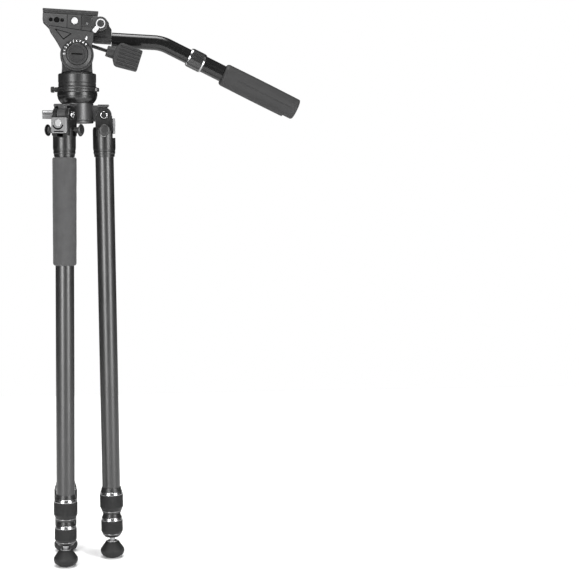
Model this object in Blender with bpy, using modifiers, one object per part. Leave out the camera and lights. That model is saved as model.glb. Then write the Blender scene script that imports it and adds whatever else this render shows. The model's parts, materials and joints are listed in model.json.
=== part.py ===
"""Video tripod with a fluid head, standing with its legs folded.

Three legs of three telescoping tubes with twist locks hang from a hub that carries
a bowl and a fluid head with a pan handle.  Metres, +Z up, standing on Z = 0.
"""

import math

import bmesh
import bpy
from mathutils import Matrix

MM = 0.001

# Hub, in the frame of the tripod's own upright axis
AXIS_X = -155.5 * MM  # where that axis stands, so that the whole box is centred on X = 0
HUB_RADIUS = 26.0 * MM
HUB_BOTTOM = 719.0 * MM
HUB_TOP = 756.3 * MM
PORT_HEIGHT = 737.7 * MM
PORT_RADIUS = 7.0 * MM
PORT_REACH = 57.0 * MM
BOWL_RADIUS = 32.6 * MM
BOWL_TOP = 774.0 * MM

# Legs: each hangs from a pin, in a frame whose -Z runs down the leg and +X outward
LEG_AZIMUTHS = (0.0, 240.0, 120.0)
GRIP_LEG = 2
PIN_REACH = 42.5 * MM
PIN_HEIGHT = 737.0 * MM
SPLAY = math.radians(0.75)
LEG_LENGTH = PIN_HEIGHT / math.cos(SPLAY)
TUBE_RADII = (15.0 * MM, 13.4 * MM, 11.3 * MM)
TUBE_WALL = 1.2 * MM
TUBE_GAP = 0.4 * MM
TUBE_TOPS = (-40.0 * MM, -48.0 * MM, -60.0 * MM)
BRACKET_END = -67.7 * MM
UPPER_LOCK = (-617.4 * MM, -660.3 * MM)
LOWER_LOCK = (-662.0 * MM, -701.5 * MM)
LOCK_RADII = (19.4 * MM, 18.1 * MM)
FOOT_TOP = 30.0 * MM
FOOT_RADIUS = 20.0 * MM
FOAM = (-68.4 * MM, -242.0 * MM)
FOAM_RADIUS = 19.6 * MM
CHEEK_RADIUS = 12.6 * MM
CHEEK_FACE = 15.3 * MM
LUG_HALF = 8.0 * MM
PIN_RADIUS = 4.0 * MM
RELEASE_DROP = 26.5 * MM
RELEASE_TRAVEL = 5.0 * MM
RELEASE_FACE = 33.0 * MM

# Head
PAN_BASE_TOP = 782.6 * MM
PAN_BASE_RADIUS = 32.0 * MM
PAN_KNOB_HEIGHT = 778.0 * MM
DRUM_RADIUS = 30.8 * MM
DRUM_TOP = 804.0 * MM
TILT_HEIGHT = 833.5 * MM
TILT_AT_REST = math.radians(2.9)
YOKE_RADIUS = 27.0 * MM
YOKE_HALF = 15.0 * MM
CRADLE_HALF = 24.0 * MM
CRADLE_TOP = 62.7 * MM
DIAL_RADIUS = 23.8 * MM
CAP_RADIUS = 14.0 * MM
PLATE_ENDS = (-57.6 * MM, 31.2 * MM)
PLATE_HALF = 25.0 * MM
PLATE_TOP = 70.0 * MM
SCREW_X = -13.0 * MM
BUTTON = (-6.0 * MM, 52.7 * MM)
ROSETTE = (35.5 * MM, 50.7 * MM)

# Pan handle: a bent bar, then a sleeve with collar and grip along a dropping axis
BAR_Y = 10.0 * MM
BAR_HEIGHT = 28.5 * MM
BAR_RADIUS = 12.1 * MM
BAR_START = 55.4 * MM
BAR_CORNER = 137.0 * MM
BAR_BEND = 60.0 * MM
HANDLE_DROP = math.radians(23.1)
COLLAR = (49.5 * MM, 76.3 * MM)
GRIP = (112.4 * MM, 248.0 * MM)
BAR_END = 205.0 * MM
SLEEVE_RADIUS = 13.6 * MM
GRIP_RADIUS = 18.5 * MM

# Tilt lock knob, a ribbed paddle on a shaft that drops away from the head
KNOB_START = (20.5 * MM, 15.4 * MM)
KNOB_DROP = math.radians(14.6)
KNOB_Y = -19.8 * MM

GAP = 0.3 * MM
MERGE = 0.00001
ROUND = 16
ALONG_Y = (math.radians(90), 0.0, 0.0)

MATERIALS = {
    "black_metal": ((0.035, 0.035, 0.037), 0.42, 0.6),
    "gloss_black": ((0.012, 0.012, 0.013), 0.18, 0.2),
    "hub_metal": ((0.16, 0.16, 0.165), 0.38, 0.9),
    "tube_black": ((0.045, 0.045, 0.047), 0.32, 0.5),
    "chrome": ((0.82, 0.82, 0.83), 0.12, 1.0),
    "bright_metal": ((0.42, 0.42, 0.43), 0.35, 0.9),
    "rubber": ((0.030, 0.030, 0.031), 0.75, 0.0),
    "foam": ((0.055, 0.055, 0.056), 0.9, 0.0),
    "white_plastic": ((0.86, 0.86, 0.86), 0.4, 0.0),
    "spring_steel": ((0.35, 0.34, 0.33), 0.3, 1.0),
}


def clear_scene():
    for obj in list(bpy.data.objects):
        bpy.data.objects.remove(obj, do_unlink=True)


def collection(name):
    made = bpy.data.collections.new(name)
    bpy.context.scene.collection.children.link(made)
    return made


def material(name):
    made = bpy.data.materials.get(name)
    if made is None:
        colour, roughness, metallic = MATERIALS[name]
        made = bpy.data.materials.new(name)
        made.use_nodes = True
        shader = made.node_tree.nodes["Principled BSDF"]
        shader.inputs["Base Color"].default_value = (*colour, 1.0)
        shader.inputs["Roughness"].default_value = roughness
        shader.inputs["Metallic"].default_value = metallic
        made.diffuse_color = (*colour, 1.0)
    return made


def empty(name, parent=None, place=(0, 0, 0), turn=(0, 0, 0)):
    made = bpy.data.objects.new(name, None)
    PARTS.objects.link(made)
    made.parent = parent
    made.location = place
    made.rotation_euler = turn
    return made


def add(name, mesh, look, parent, place=(0, 0, 0), turn=(0, 0, 0)):
    """A named object; without a look it is a tool for a Boolean and isn't part of the object."""
    made = bpy.data.objects.new(name, mesh)
    if look is None:
        TOOLS.objects.link(made)
        made.hide_render = True
        made.display_type = "WIRE"
    else:
        PARTS.objects.link(made)
        mesh.materials.append(material(look))
    made.parent = parent
    made.location = place
    made.rotation_euler = turn
    return made


def turned(name, profile, look, parent, place=(0, 0, 0), turn=(0, 0, 0), steps=ROUND):
    """A turned solid about Z.  The profile of (radius, height) runs down the outer side;
    it starts and ends on the axis, or closes into a ring if it doesn't touch the axis."""
    mesh = bpy.data.meshes.new(name)
    edges = [(i, i + 1) for i in range(len(profile) - 1)]
    if profile[0][0] > 0:
        edges.append((len(profile) - 1, 0))
    mesh.from_pydata([(r, 0, z) for r, z in profile], edges, [])
    made = add(name, mesh, look, parent, place, turn)
    screw = made.modifiers.new("turn", "SCREW")
    screw.axis = "Z"
    screw.steps = steps
    screw.render_steps = steps
    screw.use_merge_vertices = True
    screw.merge_threshold = MERGE
    return made


def rod(name, radius, low, high, look, parent, place=(0, 0, 0), turn=(0, 0, 0), steps=ROUND):
    profile = [(0, high), (radius, high), (radius, low), (0, low)]
    return turned(name, profile, look, parent, place, turn, steps)


def tube(name, outer, inner, low, high, look, parent, place=(0, 0, 0), turn=(0, 0, 0)):
    profile = [(outer, high), (outer, low), (inner, low), (inner, high)]
    return turned(name, profile, look, parent, place, turn)


def block(name, low, high, look, parent, turn=(0, 0, 0), bevel=0.0):
    """A box between two corners, in its parent's frame, with bevelled edges."""
    mesh = bpy.data.meshes.new(name)
    size = [h - l for l, h in zip(low, high)]
    cage = bmesh.new()
    bmesh.ops.create_cube(cage, size=1.0, matrix=Matrix.Diagonal((*size, 1.0)))
    cage.to_mesh(mesh)
    cage.free()
    centre = [(h + l) / 2 for l, h in zip(low, high)]
    made = add(name, mesh, look, parent, centre, turn)
    if bevel:
        edge = made.modifiers.new("edge", "BEVEL")
        edge.width = bevel
        edge.segments = 1
    return made


def arc(centre, radius, start, end, count):
    """Points on an arc, angles in degrees counted from +X towards +Y of the outline."""
    points = []
    for i in range(count + 1):
        angle = math.radians(start + (end - start) * i / count)
        points.append((centre[0] + radius * math.cos(angle), centre[1] + radius * math.sin(angle)))
    return points


def as_mesh(curve_object, look):
    """Replaces a curve object by a mesh object of the same shape with its caps welded."""
    bpy.context.view_layer.update()
    evaluated = curve_object.evaluated_get(bpy.context.evaluated_depsgraph_get())
    mesh = bpy.data.meshes.new_from_object(evaluated)
    cage = bmesh.new()
    cage.from_mesh(mesh)
    bmesh.ops.remove_doubles(cage, verts=cage.verts, dist=MERGE)
    bmesh.ops.recalc_face_normals(cage, faces=cage.faces)
    cage.to_mesh(mesh)
    cage.free()
    name = curve_object.name
    parent = curve_object.parent
    place = tuple(curve_object.location)
    turn = tuple(curve_object.rotation_euler)
    bpy.data.objects.remove(curve_object)
    mesh.materials.clear()
    return add(name, mesh, look, parent, place, turn)


def spline_object(name, points, parent, dimensions):
    curve = bpy.data.curves.new(name, "CURVE")
    curve.dimensions = dimensions
    spline = curve.splines.new("POLY")
    spline.points.add(len(points) - 1)
    for point, place in zip(spline.points, points):
        point.co = (*place, 1.0)
    made = bpy.data.objects.new(name, curve)
    TOOLS.objects.link(made)
    made.parent = parent
    return made


def slab(name, outline, low, high, look, parent):
    """A flat outline of (x, z) points, with its thickness along Y from low to high."""
    made = spline_object(name, [(x, z, 0.0) for x, z in outline], parent, "2D")
    made.data.splines[0].use_cyclic_u = True
    made.data.fill_mode = "BOTH"
    made.data.extrude = (high - low) / 2
    made.location = (0.0, (high + low) / 2, 0.0)
    made.rotation_euler = ALONG_Y
    return as_mesh(made, look)


def boolean(target, tool, operation, solver="EXACT"):
    step = target.modifiers.new(tool.name, "BOOLEAN")
    step.operation = operation
    step.solver = solver
    step.object = tool


def cut(target, *tools, solver="EXACT"):
    for tool in tools:
        boolean(target, tool, "DIFFERENCE", solver)


def fuse(target, *tools):
    for tool in tools:
        boolean(target, tool, "UNION")


# --- hub and bowl -------------------------------------------------------------


def make_hub(axis):
    hub = turned(
        "spider_hub",
        [
            (5.2 * MM, HUB_TOP),
            (HUB_RADIUS, HUB_TOP),
            (HUB_RADIUS, HUB_BOTTOM + 2 * MM),
            (HUB_RADIUS - 1 * MM, HUB_BOTTOM),
            (19 * MM, HUB_BOTTOM),
            (19 * MM, HUB_TOP - 7 * MM),
            (5.2 * MM, HUB_TOP - 7 * MM),
        ],
        "hub_metal",
        axis,
    )
    for number, azimuth in enumerate(LEG_AZIMUTHS, 1):
        side = empty(f"lug_{number}_axis", axis, (0, 0, PIN_HEIGHT), (0, 0, math.radians(azimuth)))
        inner = HUB_RADIUS - 4 * MM - PIN_REACH
        ear = [(inner, -10 * MM)]
        ear += arc((0, 0), 11 * MM, -90, 60, 8)
        ear += [(7.5 * MM, 15.8 * MM), (inner, 15.8 * MM)]
        lug = slab(f"lug_{number}", ear, -LUG_HALF, LUG_HALF, None, side)
        lug.location.x = PIN_REACH
        stop = block(
            f"lug_{number}_stop",
            (PIN_REACH - 10 * MM, -15 * MM, 13.1 * MM),
            (PIN_REACH + 8.7 * MM, 15 * MM, 15.9 * MM),
            None,
            side,
        )
        hole = rod(
            f"lug_{number}_hole", PIN_RADIUS + GAP, -12 * MM, 12 * MM, None, side,
            (PIN_REACH, 0, 0), ALONG_Y, 16,
        )
        fuse(hub, lug, stop)
        cut(hub, hole)
    socket = rod(
        "port_seat", PORT_RADIUS - 1.7 * MM, 20 * MM, 40 * MM, None, axis,
        (0, 0, PORT_HEIGHT), (0, math.radians(-90), 0),
    )
    cut(hub, socket)


def make_accessory_port(axis):
    """A threaded side socket, with its shank in the hub's wall and its mouth pointing to -X."""
    bore = 3.6 * MM
    shank = PORT_RADIUS - 2 * MM
    turned(
        "accessory_port",
        [
            (bore, PORT_REACH),
            (PORT_RADIUS, PORT_REACH),
            (PORT_RADIUS, HUB_RADIUS + 0.5 * MM),
            (shank, HUB_RADIUS + 0.5 * MM),
            (shank, HUB_RADIUS - 6 * MM),
            (bore, HUB_RADIUS - 6 * MM),
        ],
        "bright_metal",
        axis,
        (0, 0, PORT_HEIGHT),
        (0, math.radians(-90), 0),
    )


def make_bowl(axis):
    turned(
        "apex_bowl",
        [
            (5.2 * MM, BOWL_TOP),
            (BOWL_RADIUS - 0.6 * MM, BOWL_TOP),
            (BOWL_RADIUS, BOWL_TOP - 0.6 * MM),
            (BOWL_RADIUS, 767 * MM),
            (31.2 * MM, 763 * MM),
            (27.2 * MM, HUB_TOP + GAP),
            (5.2 * MM, HUB_TOP + GAP),
        ],
        "gloss_black",
        axis,
    )
    turned(
        "head_screw",
        [
            (0, 776.5 * MM),
            (4.6 * MM, 776.5 * MM),
            (4.6 * MM, HUB_TOP - 7.4 * MM),
            (9 * MM, HUB_TOP - 7.4 * MM),
            (9 * MM, HUB_TOP - 13 * MM),
            (0, HUB_TOP - 13 * MM),
        ],
        "spring_steel",
        axis,
        steps=16,
    )


# --- legs ---------------------------------------------------------------------


def make_bracket(leg, prefix):
    bracket = turned(
        f"{prefix}_bracket",
        [
            (0, -19 * MM),
            (17 * MM, -19 * MM),
            (18.4 * MM, -24 * MM),
            (18.4 * MM, -55 * MM),
            (16.4 * MM, BRACKET_END),
            (15.3 * MM, BRACKET_END),
            (15.3 * MM, TUBE_TOPS[0] + GAP),
            (0, TUBE_TOPS[0] + GAP),
        ],
        "black_metal",
        leg,
    )
    body = block(
        f"{prefix}_bracket_body", (-13.4 * MM, -CHEEK_FACE, -34 * MM),
        (13.4 * MM, CHEEK_FACE, -1.3 * MM), None, leg,
    )
    cheeks = rod(
        f"{prefix}_cheeks", CHEEK_RADIUS, -CHEEK_FACE + 0.1 * MM, CHEEK_FACE - 0.1 * MM,
        None, leg, turn=ALONG_Y,
    )
    slot_half = LUG_HALF + GAP
    slot = block(
        f"{prefix}_slot", (-30 * MM, -slot_half, -14 * MM), (30 * MM, slot_half, 30 * MM), None, leg
    )
    bore = rod(
        f"{prefix}_pin_bore", PIN_RADIUS + 0.2 * MM, -20 * MM, 20 * MM, None, leg,
        turn=ALONG_Y, steps=16,
    )
    fuse(bracket, body, cheeks)
    cut(bracket, slot, bore)
    for side in (-1, 1):
        seat = rod(
            f"{prefix}_seat_{side}", 7.85 * MM, CHEEK_FACE - 1.3 * MM, 20 * MM, None, leg,
            turn=(math.radians(90 * side), 0, 0),
        )
        cut(bracket, seat)
    low = -RELEASE_DROP - RELEASE_TRAVEL - 3.2 * MM
    high = -RELEASE_DROP + 3.2 * MM
    pin_slot = block(
        f"{prefix}_pin_slot", (-2.8 * MM, -25 * MM, low), (2.8 * MM, 25 * MM, high), None, leg
    )
    web_low = (-4 * MM, -5.4 * MM, low - 0.9 * MM)
    web_high = (25 * MM, 5.4 * MM, high + 1.1 * MM)
    web_slot = block(f"{prefix}_web_slot", web_low, web_high, None, leg)
    tab_seat = block(
        f"{prefix}_tab_seat", (13.7 * MM, -25 * MM, -37 * MM), (30 * MM, 25 * MM, -3 * MM), None, leg
    )
    cut(bracket, pin_slot, web_slot, tab_seat, solver="MANIFOLD")


def make_hinge_bolt(leg, prefix):
    head = 6.0 * MM
    face = CHEEK_FACE + 0.9 * MM
    seat = CHEEK_FACE - 1.0 * MM
    turned(
        f"{prefix}_hinge_bolt",
        [
            (0, face),
            (head - 0.8 * MM, face),
            (head, face - 0.8 * MM),
            (head, seat),
            (PIN_RADIUS, seat),
            (PIN_RADIUS, -seat),
            (head, -seat),
            (head, -face + 0.8 * MM),
            (head - 0.8 * MM, -face),
            (0, -face),
        ],
        "chrome",
        leg,
        turn=ALONG_Y,
        steps=16,
    )


def make_angle_lock(leg, prefix):
    lock = block(
        f"{prefix}_angle_lock", (14 * MM, -14 * MM, -30.2 * MM), (18 * MM, 14 * MM, -5.3 * MM),
        "bright_metal", leg,
    )
    web = block(
        f"{prefix}_lock_web", (-2.6 * MM, -5 * MM, -RELEASE_DROP - 3.9 * MM),
        (15 * MM, 5 * MM, -RELEASE_DROP + 3.9 * MM), None, leg,
    )
    hole = rod(
        f"{prefix}_release_hole", 1.9 * MM, -8 * MM, 8 * MM, None, leg, (0, 0, -RELEASE_DROP), ALONG_Y, 12
    )
    fuse(lock, web)
    cut(lock, hole)
    neck = 4.2 * MM
    disc = 9.2 * MM
    under = RELEASE_FACE - 3.6 * MM
    half = [
        (0, RELEASE_FACE),
        (disc - 2.4 * MM, RELEASE_FACE),
        (disc, RELEASE_FACE - 1.6 * MM),
        (disc, under),
        (neck, under),
        (neck, 19.2 * MM),
        (1.6 * MM, 19.2 * MM),
    ]
    other = [(r, -z) for r, z in reversed(half)]
    turned(
        f"{prefix}_release_pin", half + other, "rubber", leg, (0, 0, -RELEASE_DROP), ALONG_Y, 12
    )


def lock_profile(top, bottom, radius, over, under, step):
    """A twist lock: a ring over a tube's end, whose bore narrows below that end to the next tube."""
    return [
        (over + 1.1 * MM, top),
        (radius - 1.6 * MM, top - 4 * MM),
        (radius - 1.0 * MM, top - 11 * MM),
        (radius, top - 12.5 * MM),
        (radius, bottom + 4.5 * MM),
        (radius - 2.2 * MM, bottom),
        (under, bottom),
        (under, step),
        (over, step),
        (over, top),
    ]


def make_tubes(leg, prefix):
    ends = (UPPER_LOCK[1] + 5 * MM, LOWER_LOCK[1] + 5 * MM, LOWER_LOCK[1] + 2 * MM)
    names = ("upper", "middle", "lower")
    for name, radius, top, end in zip(names, TUBE_RADII, TUBE_TOPS, ends):
        tube(f"{prefix}_{name}_tube", radius, radius - TUBE_WALL, end, top, "tube_black", leg)
    locks = zip(("upper", "lower"), (UPPER_LOCK, LOWER_LOCK), LOCK_RADII, TUBE_RADII, TUBE_RADII[1:], ends)
    for name, lock, radius, outer, inner, end in locks:
        profile = lock_profile(*lock, radius, outer + 0.5 * MM, inner + TUBE_GAP, end - GAP)
        turned(f"{prefix}_{name}_lock", profile, "rubber", leg)


def make_foot(leg, prefix):
    plug = TUBE_RADII[2] - TUBE_WALL - GAP
    tube_end = LOWER_LOCK[1] + 2 * MM
    floor = -LEG_LENGTH
    turned(
        f"{prefix}_foot_stem",
        [
            (0, tube_end + 14 * MM),
            (plug, tube_end + 14 * MM),
            (plug, tube_end - GAP),
            (6.4 * MM, tube_end - GAP),
            (6.4 * MM, floor + 27.5 * MM),
            (3.8 * MM, floor + 27.5 * MM),
            (3.8 * MM, floor + 12 * MM),
            (0, floor + 12 * MM),
        ],
        "chrome",
        leg,
        steps=16,
    )
    turned(
        f"{prefix}_foot",
        [
            (0, floor + 11.5 * MM),
            (4.2 * MM, floor + 11.5 * MM),
            (4.2 * MM, floor + 27 * MM),
            (7.4 * MM, floor + 27 * MM),
            (7.4 * MM, floor + FOOT_TOP),
            (9.6 * MM, floor + FOOT_TOP),
            (10.4 * MM, floor + 26 * MM),
            (15.5 * MM, floor + 20.5 * MM),
            (19.2 * MM, floor + 15 * MM),
            (FOOT_RADIUS, floor + 10.5 * MM),
            (18.4 * MM, floor + 5 * MM),
            (13 * MM, floor + 1.5 * MM),
            (6 * MM, floor + 0.2 * MM),
            (0, floor),
        ],
        "rubber",
        leg,
    )


def make_legs(axis):
    for number, azimuth in enumerate(LEG_AZIMUTHS, 1):
        prefix = f"leg_{number}"
        side = empty(f"{prefix}_side", axis, (0, 0, 0), (0, 0, math.radians(azimuth)))
        leg = empty(f"{prefix}_hinge_axis", side, (PIN_REACH, 0, PIN_HEIGHT), (0, -SPLAY, 0))
        make_bracket(leg, prefix)
        make_hinge_bolt(leg, prefix)
        make_angle_lock(leg, prefix)
        make_tubes(leg, prefix)
        make_foot(leg, prefix)
        if number == GRIP_LEG:
            top, bottom = FOAM
            inner = TUBE_RADII[0] + GAP
            turned(
                f"{prefix}_foam_grip",
                [
                    (inner, top),
                    (FOAM_RADIUS - 2 * MM, top),
                    (FOAM_RADIUS, top - 3 * MM),
                    (FOAM_RADIUS - 0.6 * MM, bottom + 3 * MM),
                    (FOAM_RADIUS - 2.6 * MM, bottom),
                    (inner, bottom),
                ],
                "foam",
                leg,
            )


# --- fluid head: pan ------------------------------------------------------------


def make_pan_base(axis):
    base = turned(
        "pan_base",
        [
            (0, PAN_BASE_TOP + 14 * MM),
            (10 * MM, PAN_BASE_TOP + 14 * MM),
            (10 * MM, PAN_BASE_TOP),
            (PAN_BASE_RADIUS - 0.6 * MM, PAN_BASE_TOP),
            (PAN_BASE_RADIUS, PAN_BASE_TOP - 0.6 * MM),
            (PAN_BASE_RADIUS, BOWL_TOP + GAP),
            (4.9 * MM, BOWL_TOP + GAP),
            (4.9 * MM, 777 * MM),
            (0, 777 * MM),
        ],
        "black_metal",
        axis,
    )
    boss = rod(
        "pan_knob_boss", 4 * MM, PAN_BASE_RADIUS - 8 * MM, PAN_BASE_RADIUS + 4.6 * MM, None, axis,
        (0, 0, PAN_KNOB_HEIGHT), (0, math.radians(-90), 0), 16,
    )
    hole = rod(
        "pan_knob_hole", 2.3 * MM, 22 * MM, 40 * MM, None, axis,
        (0, 0, PAN_KNOB_HEIGHT), (0, math.radians(-90), 0), 12,
    )
    fuse(base, boss)
    cut(base, hole)
    reach = PAN_BASE_RADIUS + 4.9 * MM
    turned(
        "pan_lock_knob",
        [
            (0, reach + 6.2 * MM),
            (4 * MM, reach + 6.2 * MM),
            (5 * MM, reach + 5.2 * MM),
            (5 * MM, reach),
            (2 * MM, reach),
            (2 * MM, reach - 12 * MM),
            (0, reach - 12 * MM),
        ],
        "black_metal",
        axis,
        (0, 0, PAN_KNOB_HEIGHT),
        (0, math.radians(-90), 0),
        16,
    )
    bearing = empty("level_axis", axis, (0, 0, 0), (0, 0, math.radians(-14)))
    inner = PAN_BASE_RADIUS - 3.5 * MM
    seat = block(
        "level_seat", (inner - GAP, -6.8 * MM, 774.4 * MM), (50 * MM, 6.8 * MM, 781.4 * MM), None, bearing
    )
    cut(base, seat)
    block(
        "bubble_level", (inner, -6.4 * MM, 774.8 * MM), (PAN_BASE_RADIUS + 3.2 * MM, 6.4 * MM, 781 * MM),
        "gloss_black", bearing, bevel=1 * MM,
    )


def make_pan_platform(pan):
    bottom = PAN_BASE_TOP + 0.5 * MM
    turned(
        "pan_drum",
        [
            (0, DRUM_TOP),
            (DRUM_RADIUS - 1 * MM, DRUM_TOP),
            (DRUM_RADIUS, DRUM_TOP - 1 * MM),
            (DRUM_RADIUS, bottom + 6.3 * MM),
            (DRUM_RADIUS - 1 * MM, bottom + 5.9 * MM),
            (DRUM_RADIUS - 1 * MM, bottom + 5.3 * MM),
            (DRUM_RADIUS - 0.4 * MM, bottom + 4.9 * MM),
            (DRUM_RADIUS - 0.4 * MM, bottom),
            (10.4 * MM, bottom),
            (10.4 * MM, bottom + 14.4 * MM),
            (0, bottom + 14.4 * MM),
        ],
        "black_metal",
        pan,
    )
    foot = DRUM_TOP + GAP
    outline = [(-25 * MM, foot + 1 * MM), (25 * MM, foot + 1 * MM), (24.4 * MM, foot + 8 * MM)]
    outline += arc((0, TILT_HEIGHT), YOKE_RADIUS, -25, 205, 22)
    outline += [(-24.4 * MM, foot + 8 * MM)]
    yoke = slab("tilt_yoke", outline, -YOKE_HALF, YOKE_HALF, "black_metal", pan)
    collar = turned(
        "yoke_foot",
        [(0, foot + 2 * MM), (24.9 * MM, foot + 2 * MM), (25.8 * MM, foot), (0, foot)],
        None,
        pan,
    )
    place = (0, 0, TILT_HEIGHT)
    fuse(yoke, collar)
    cut(
        yoke,
        rod("yoke_bore", 8.4 * MM, -16 * MM, 17 * MM, None, pan, place, ALONG_Y, 20),
        rod("yoke_front_well", 17.4 * MM, 6 * MM, 30 * MM, None, pan, place, ALONG_Y),
        rod("yoke_back_well", 17.2 * MM, -30 * MM, -6.1 * MM, None, pan, place, ALONG_Y),
    )
    far = YOKE_HALF - 0.2 * MM
    near = 6.4 * MM
    tube("tilt_drag_cartridge", 17 * MM, 8.4 * MM, near, far, "spring_steel", pan, place, ALONG_Y)
    tube("counterbalance_spring", 16 * MM, 10 * MM, -far, -near, "spring_steel", pan, place, ALONG_Y)


# --- fluid head: tilt, in the tilt axis's frame -----------------------------------


def make_cradle(tilt):
    outline = [
        (-57.2 * MM, CRADLE_TOP),
        (-57.2 * MM, 50.7 * MM),
        (-46.6 * MM, 41.2 * MM),
        (-45.2 * MM, 36.5 * MM),
        (-34.2 * MM, 21.8 * MM),
    ]
    outline += arc((0, 0), 26.6 * MM, 163, 390, 24)
    outline += [(20.8 * MM, 24.6 * MM), (23.5 * MM, 38 * MM), (30.6 * MM, 46 * MM), (30.6 * MM, CRADLE_TOP)]
    cradle = slab("tilt_cradle", outline, -CRADLE_HALF, CRADLE_HALF, "black_metal", tilt)
    far = CRADLE_HALF + 10 * MM
    inner = YOKE_HALF + 0.4 * MM
    rosette = (ROSETTE[0], 0, ROSETTE[1])
    button = (BUTTON[0], 0, BUTTON[1])
    ear = rod("rosette_ear", 11.6 * MM, 3 * MM, CRADLE_HALF - 0.1 * MM, None, tilt, rosette, ALONG_Y)
    side = (-CRADLE_HALF - 1 * MM, -CRADLE_HALF + 5.2 * MM)
    fuse(cradle, ear)
    cut(
        cradle,
        block("cradle_gap", (-70 * MM, -inner, -40 * MM), (70 * MM, inner, 40 * MM), None, tilt),
        rod("cradle_bore", 8.4 * MM, -30 * MM, 30 * MM, None, tilt, turn=ALONG_Y),
        block("mount_gap", (22.4 * MM, -2.7 * MM, -40 * MM), (70 * MM, far, 80 * MM), None, tilt),
        rod("ear_bore", 3.8 * MM, -1 * MM, 30 * MM, None, tilt, rosette, ALONG_Y, 16),
        block("plate_channel", (-70 * MM, -19 * MM, 57 * MM), (70 * MM, 19 * MM, 80 * MM), None, tilt),
        block("jaw_seat", (6 * MM, side[0], 44 * MM), (22 * MM, side[1], 80 * MM), None, tilt),
        rod("button_bore", 5.9 * MM, CRADLE_HALF - 9 * MM, 40 * MM, None, tilt, button, ALONG_Y, 16),
        rod(
            "knob_bore", 3.1 * MM, -7 * MM, 20 * MM, None, tilt, (KNOB_START[0], KNOB_Y, KNOB_START[1]),
            (0, math.radians(90) + KNOB_DROP, 0), 12,
        ),
    )
    for x, radius in ((-44.1, 3.0), (-34.5, 4.2), (-25.8, 2.8)):
        hole = rod(
            f"accessory_hole_{abs(x):.0f}", radius * MM, CRADLE_HALF - 6 * MM, 40 * MM, None, tilt,
            (x * MM, 0, 52.6 * MM), ALONG_Y, 12,
        )
        cut(cradle, hole)


def make_tilt_axle(tilt):
    face = CRADLE_HALF + 3.2 * MM
    turned(
        "tilt_axle",
        [
            (0, CRADLE_HALF - 1 * MM),
            (8 * MM, CRADLE_HALF - 1 * MM),
            (8 * MM, -CRADLE_HALF - GAP),
            (15 * MM, -CRADLE_HALF - GAP),
            (15 * MM, -face + 1 * MM),
            (14 * MM, -face),
            (0, -face),
        ],
        "black_metal",
        tilt,
        turn=ALONG_Y,
    )


def make_drag_dial(tilt):
    back = CRADLE_HALF + 0.4 * MM
    front = back + 6 * MM
    turned(
        "drag_dial",
        [
            (0, front - 1.6 * MM),
            (CAP_RADIUS + GAP, front - 1.6 * MM),
            (CAP_RADIUS + GAP, front),
            (DIAL_RADIUS - 1.4 * MM, front),
            (DIAL_RADIUS, front - 1.4 * MM),
            (DIAL_RADIUS, back),
            (0, back),
        ],
        "black_metal",
        tilt,
        turn=ALONG_Y,
        steps=24,
    )
    rod("dial_cap", CAP_RADIUS, front - 1.3 * MM, front + 1 * MM, "black_metal", tilt, turn=ALONG_Y)


def make_plate(tilt):
    low, high = PLATE_ENDS
    plate = block(
        "camera_plate", (low, -PLATE_HALF, 66 * MM), (high, PLATE_HALF, PLATE_TOP),
        "black_metal", tilt, bevel=0.6 * MM,
    )
    rail_end = high - 9.6 * MM
    rail = block(
        "plate_rail", (low + 1 * MM, -18.4 * MM, 59.6 * MM), (rail_end, 18.4 * MM, 67 * MM), None, tilt
    )
    skirt_end = high - 0.6 * MM
    skirt = block(
        "plate_skirt", (low + 0.6 * MM, -23.5 * MM, 63.2 * MM), (skirt_end, 23.5 * MM, 67 * MM), None, tilt
    )
    fuse(plate, rail, skirt)
    cut(
        plate,
        block(
            "screw_slot", (SCREW_X - 14 * MM, -3.6 * MM, 50 * MM),
            (SCREW_X + 14 * MM, 3.6 * MM, 80 * MM), None, tilt,
        ),
        block(
            "screw_well", (SCREW_X - 20 * MM, -9 * MM, 50 * MM),
            (SCREW_X + 20 * MM, 9 * MM, 64 * MM), None, tilt,
        ),
    )
    turned(
        "camera_screw",
        [
            (0, PLATE_TOP - 0.4 * MM),
            (3.1 * MM, PLATE_TOP - 0.4 * MM),
            (3.1 * MM, 63.4 * MM),
            (8 * MM, 63.4 * MM),
            (8 * MM, 60 * MM),
            (0, 60 * MM),
        ],
        "chrome",
        tilt,
        (SCREW_X, 0, 0),
        steps=16,
    )
    block(
        "clamp_jaw", (6.4 * MM, -CRADLE_HALF, 44.4 * MM), (21.6 * MM, -19.1 * MM, 62.4 * MM),
        "black_metal", tilt, bevel=0.8 * MM,
    )
    rod(
        "plate_button", 5.5 * MM, CRADLE_HALF - 5.5 * MM, CRADLE_HALF + 2.6 * MM, "white_plastic", tilt,
        (BUTTON[0], 0, BUTTON[1]), ALONG_Y, 20,
    )


# --- pan handle -----------------------------------------------------------------


def handle_point(distance):
    """A point on the handle's dropping axis, counted from the bar's corner, in the tilt frame."""
    x = BAR_CORNER + distance * math.cos(HANDLE_DROP)
    z = BAR_HEIGHT - distance * math.sin(HANDLE_DROP)
    return x, BAR_Y, z


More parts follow.
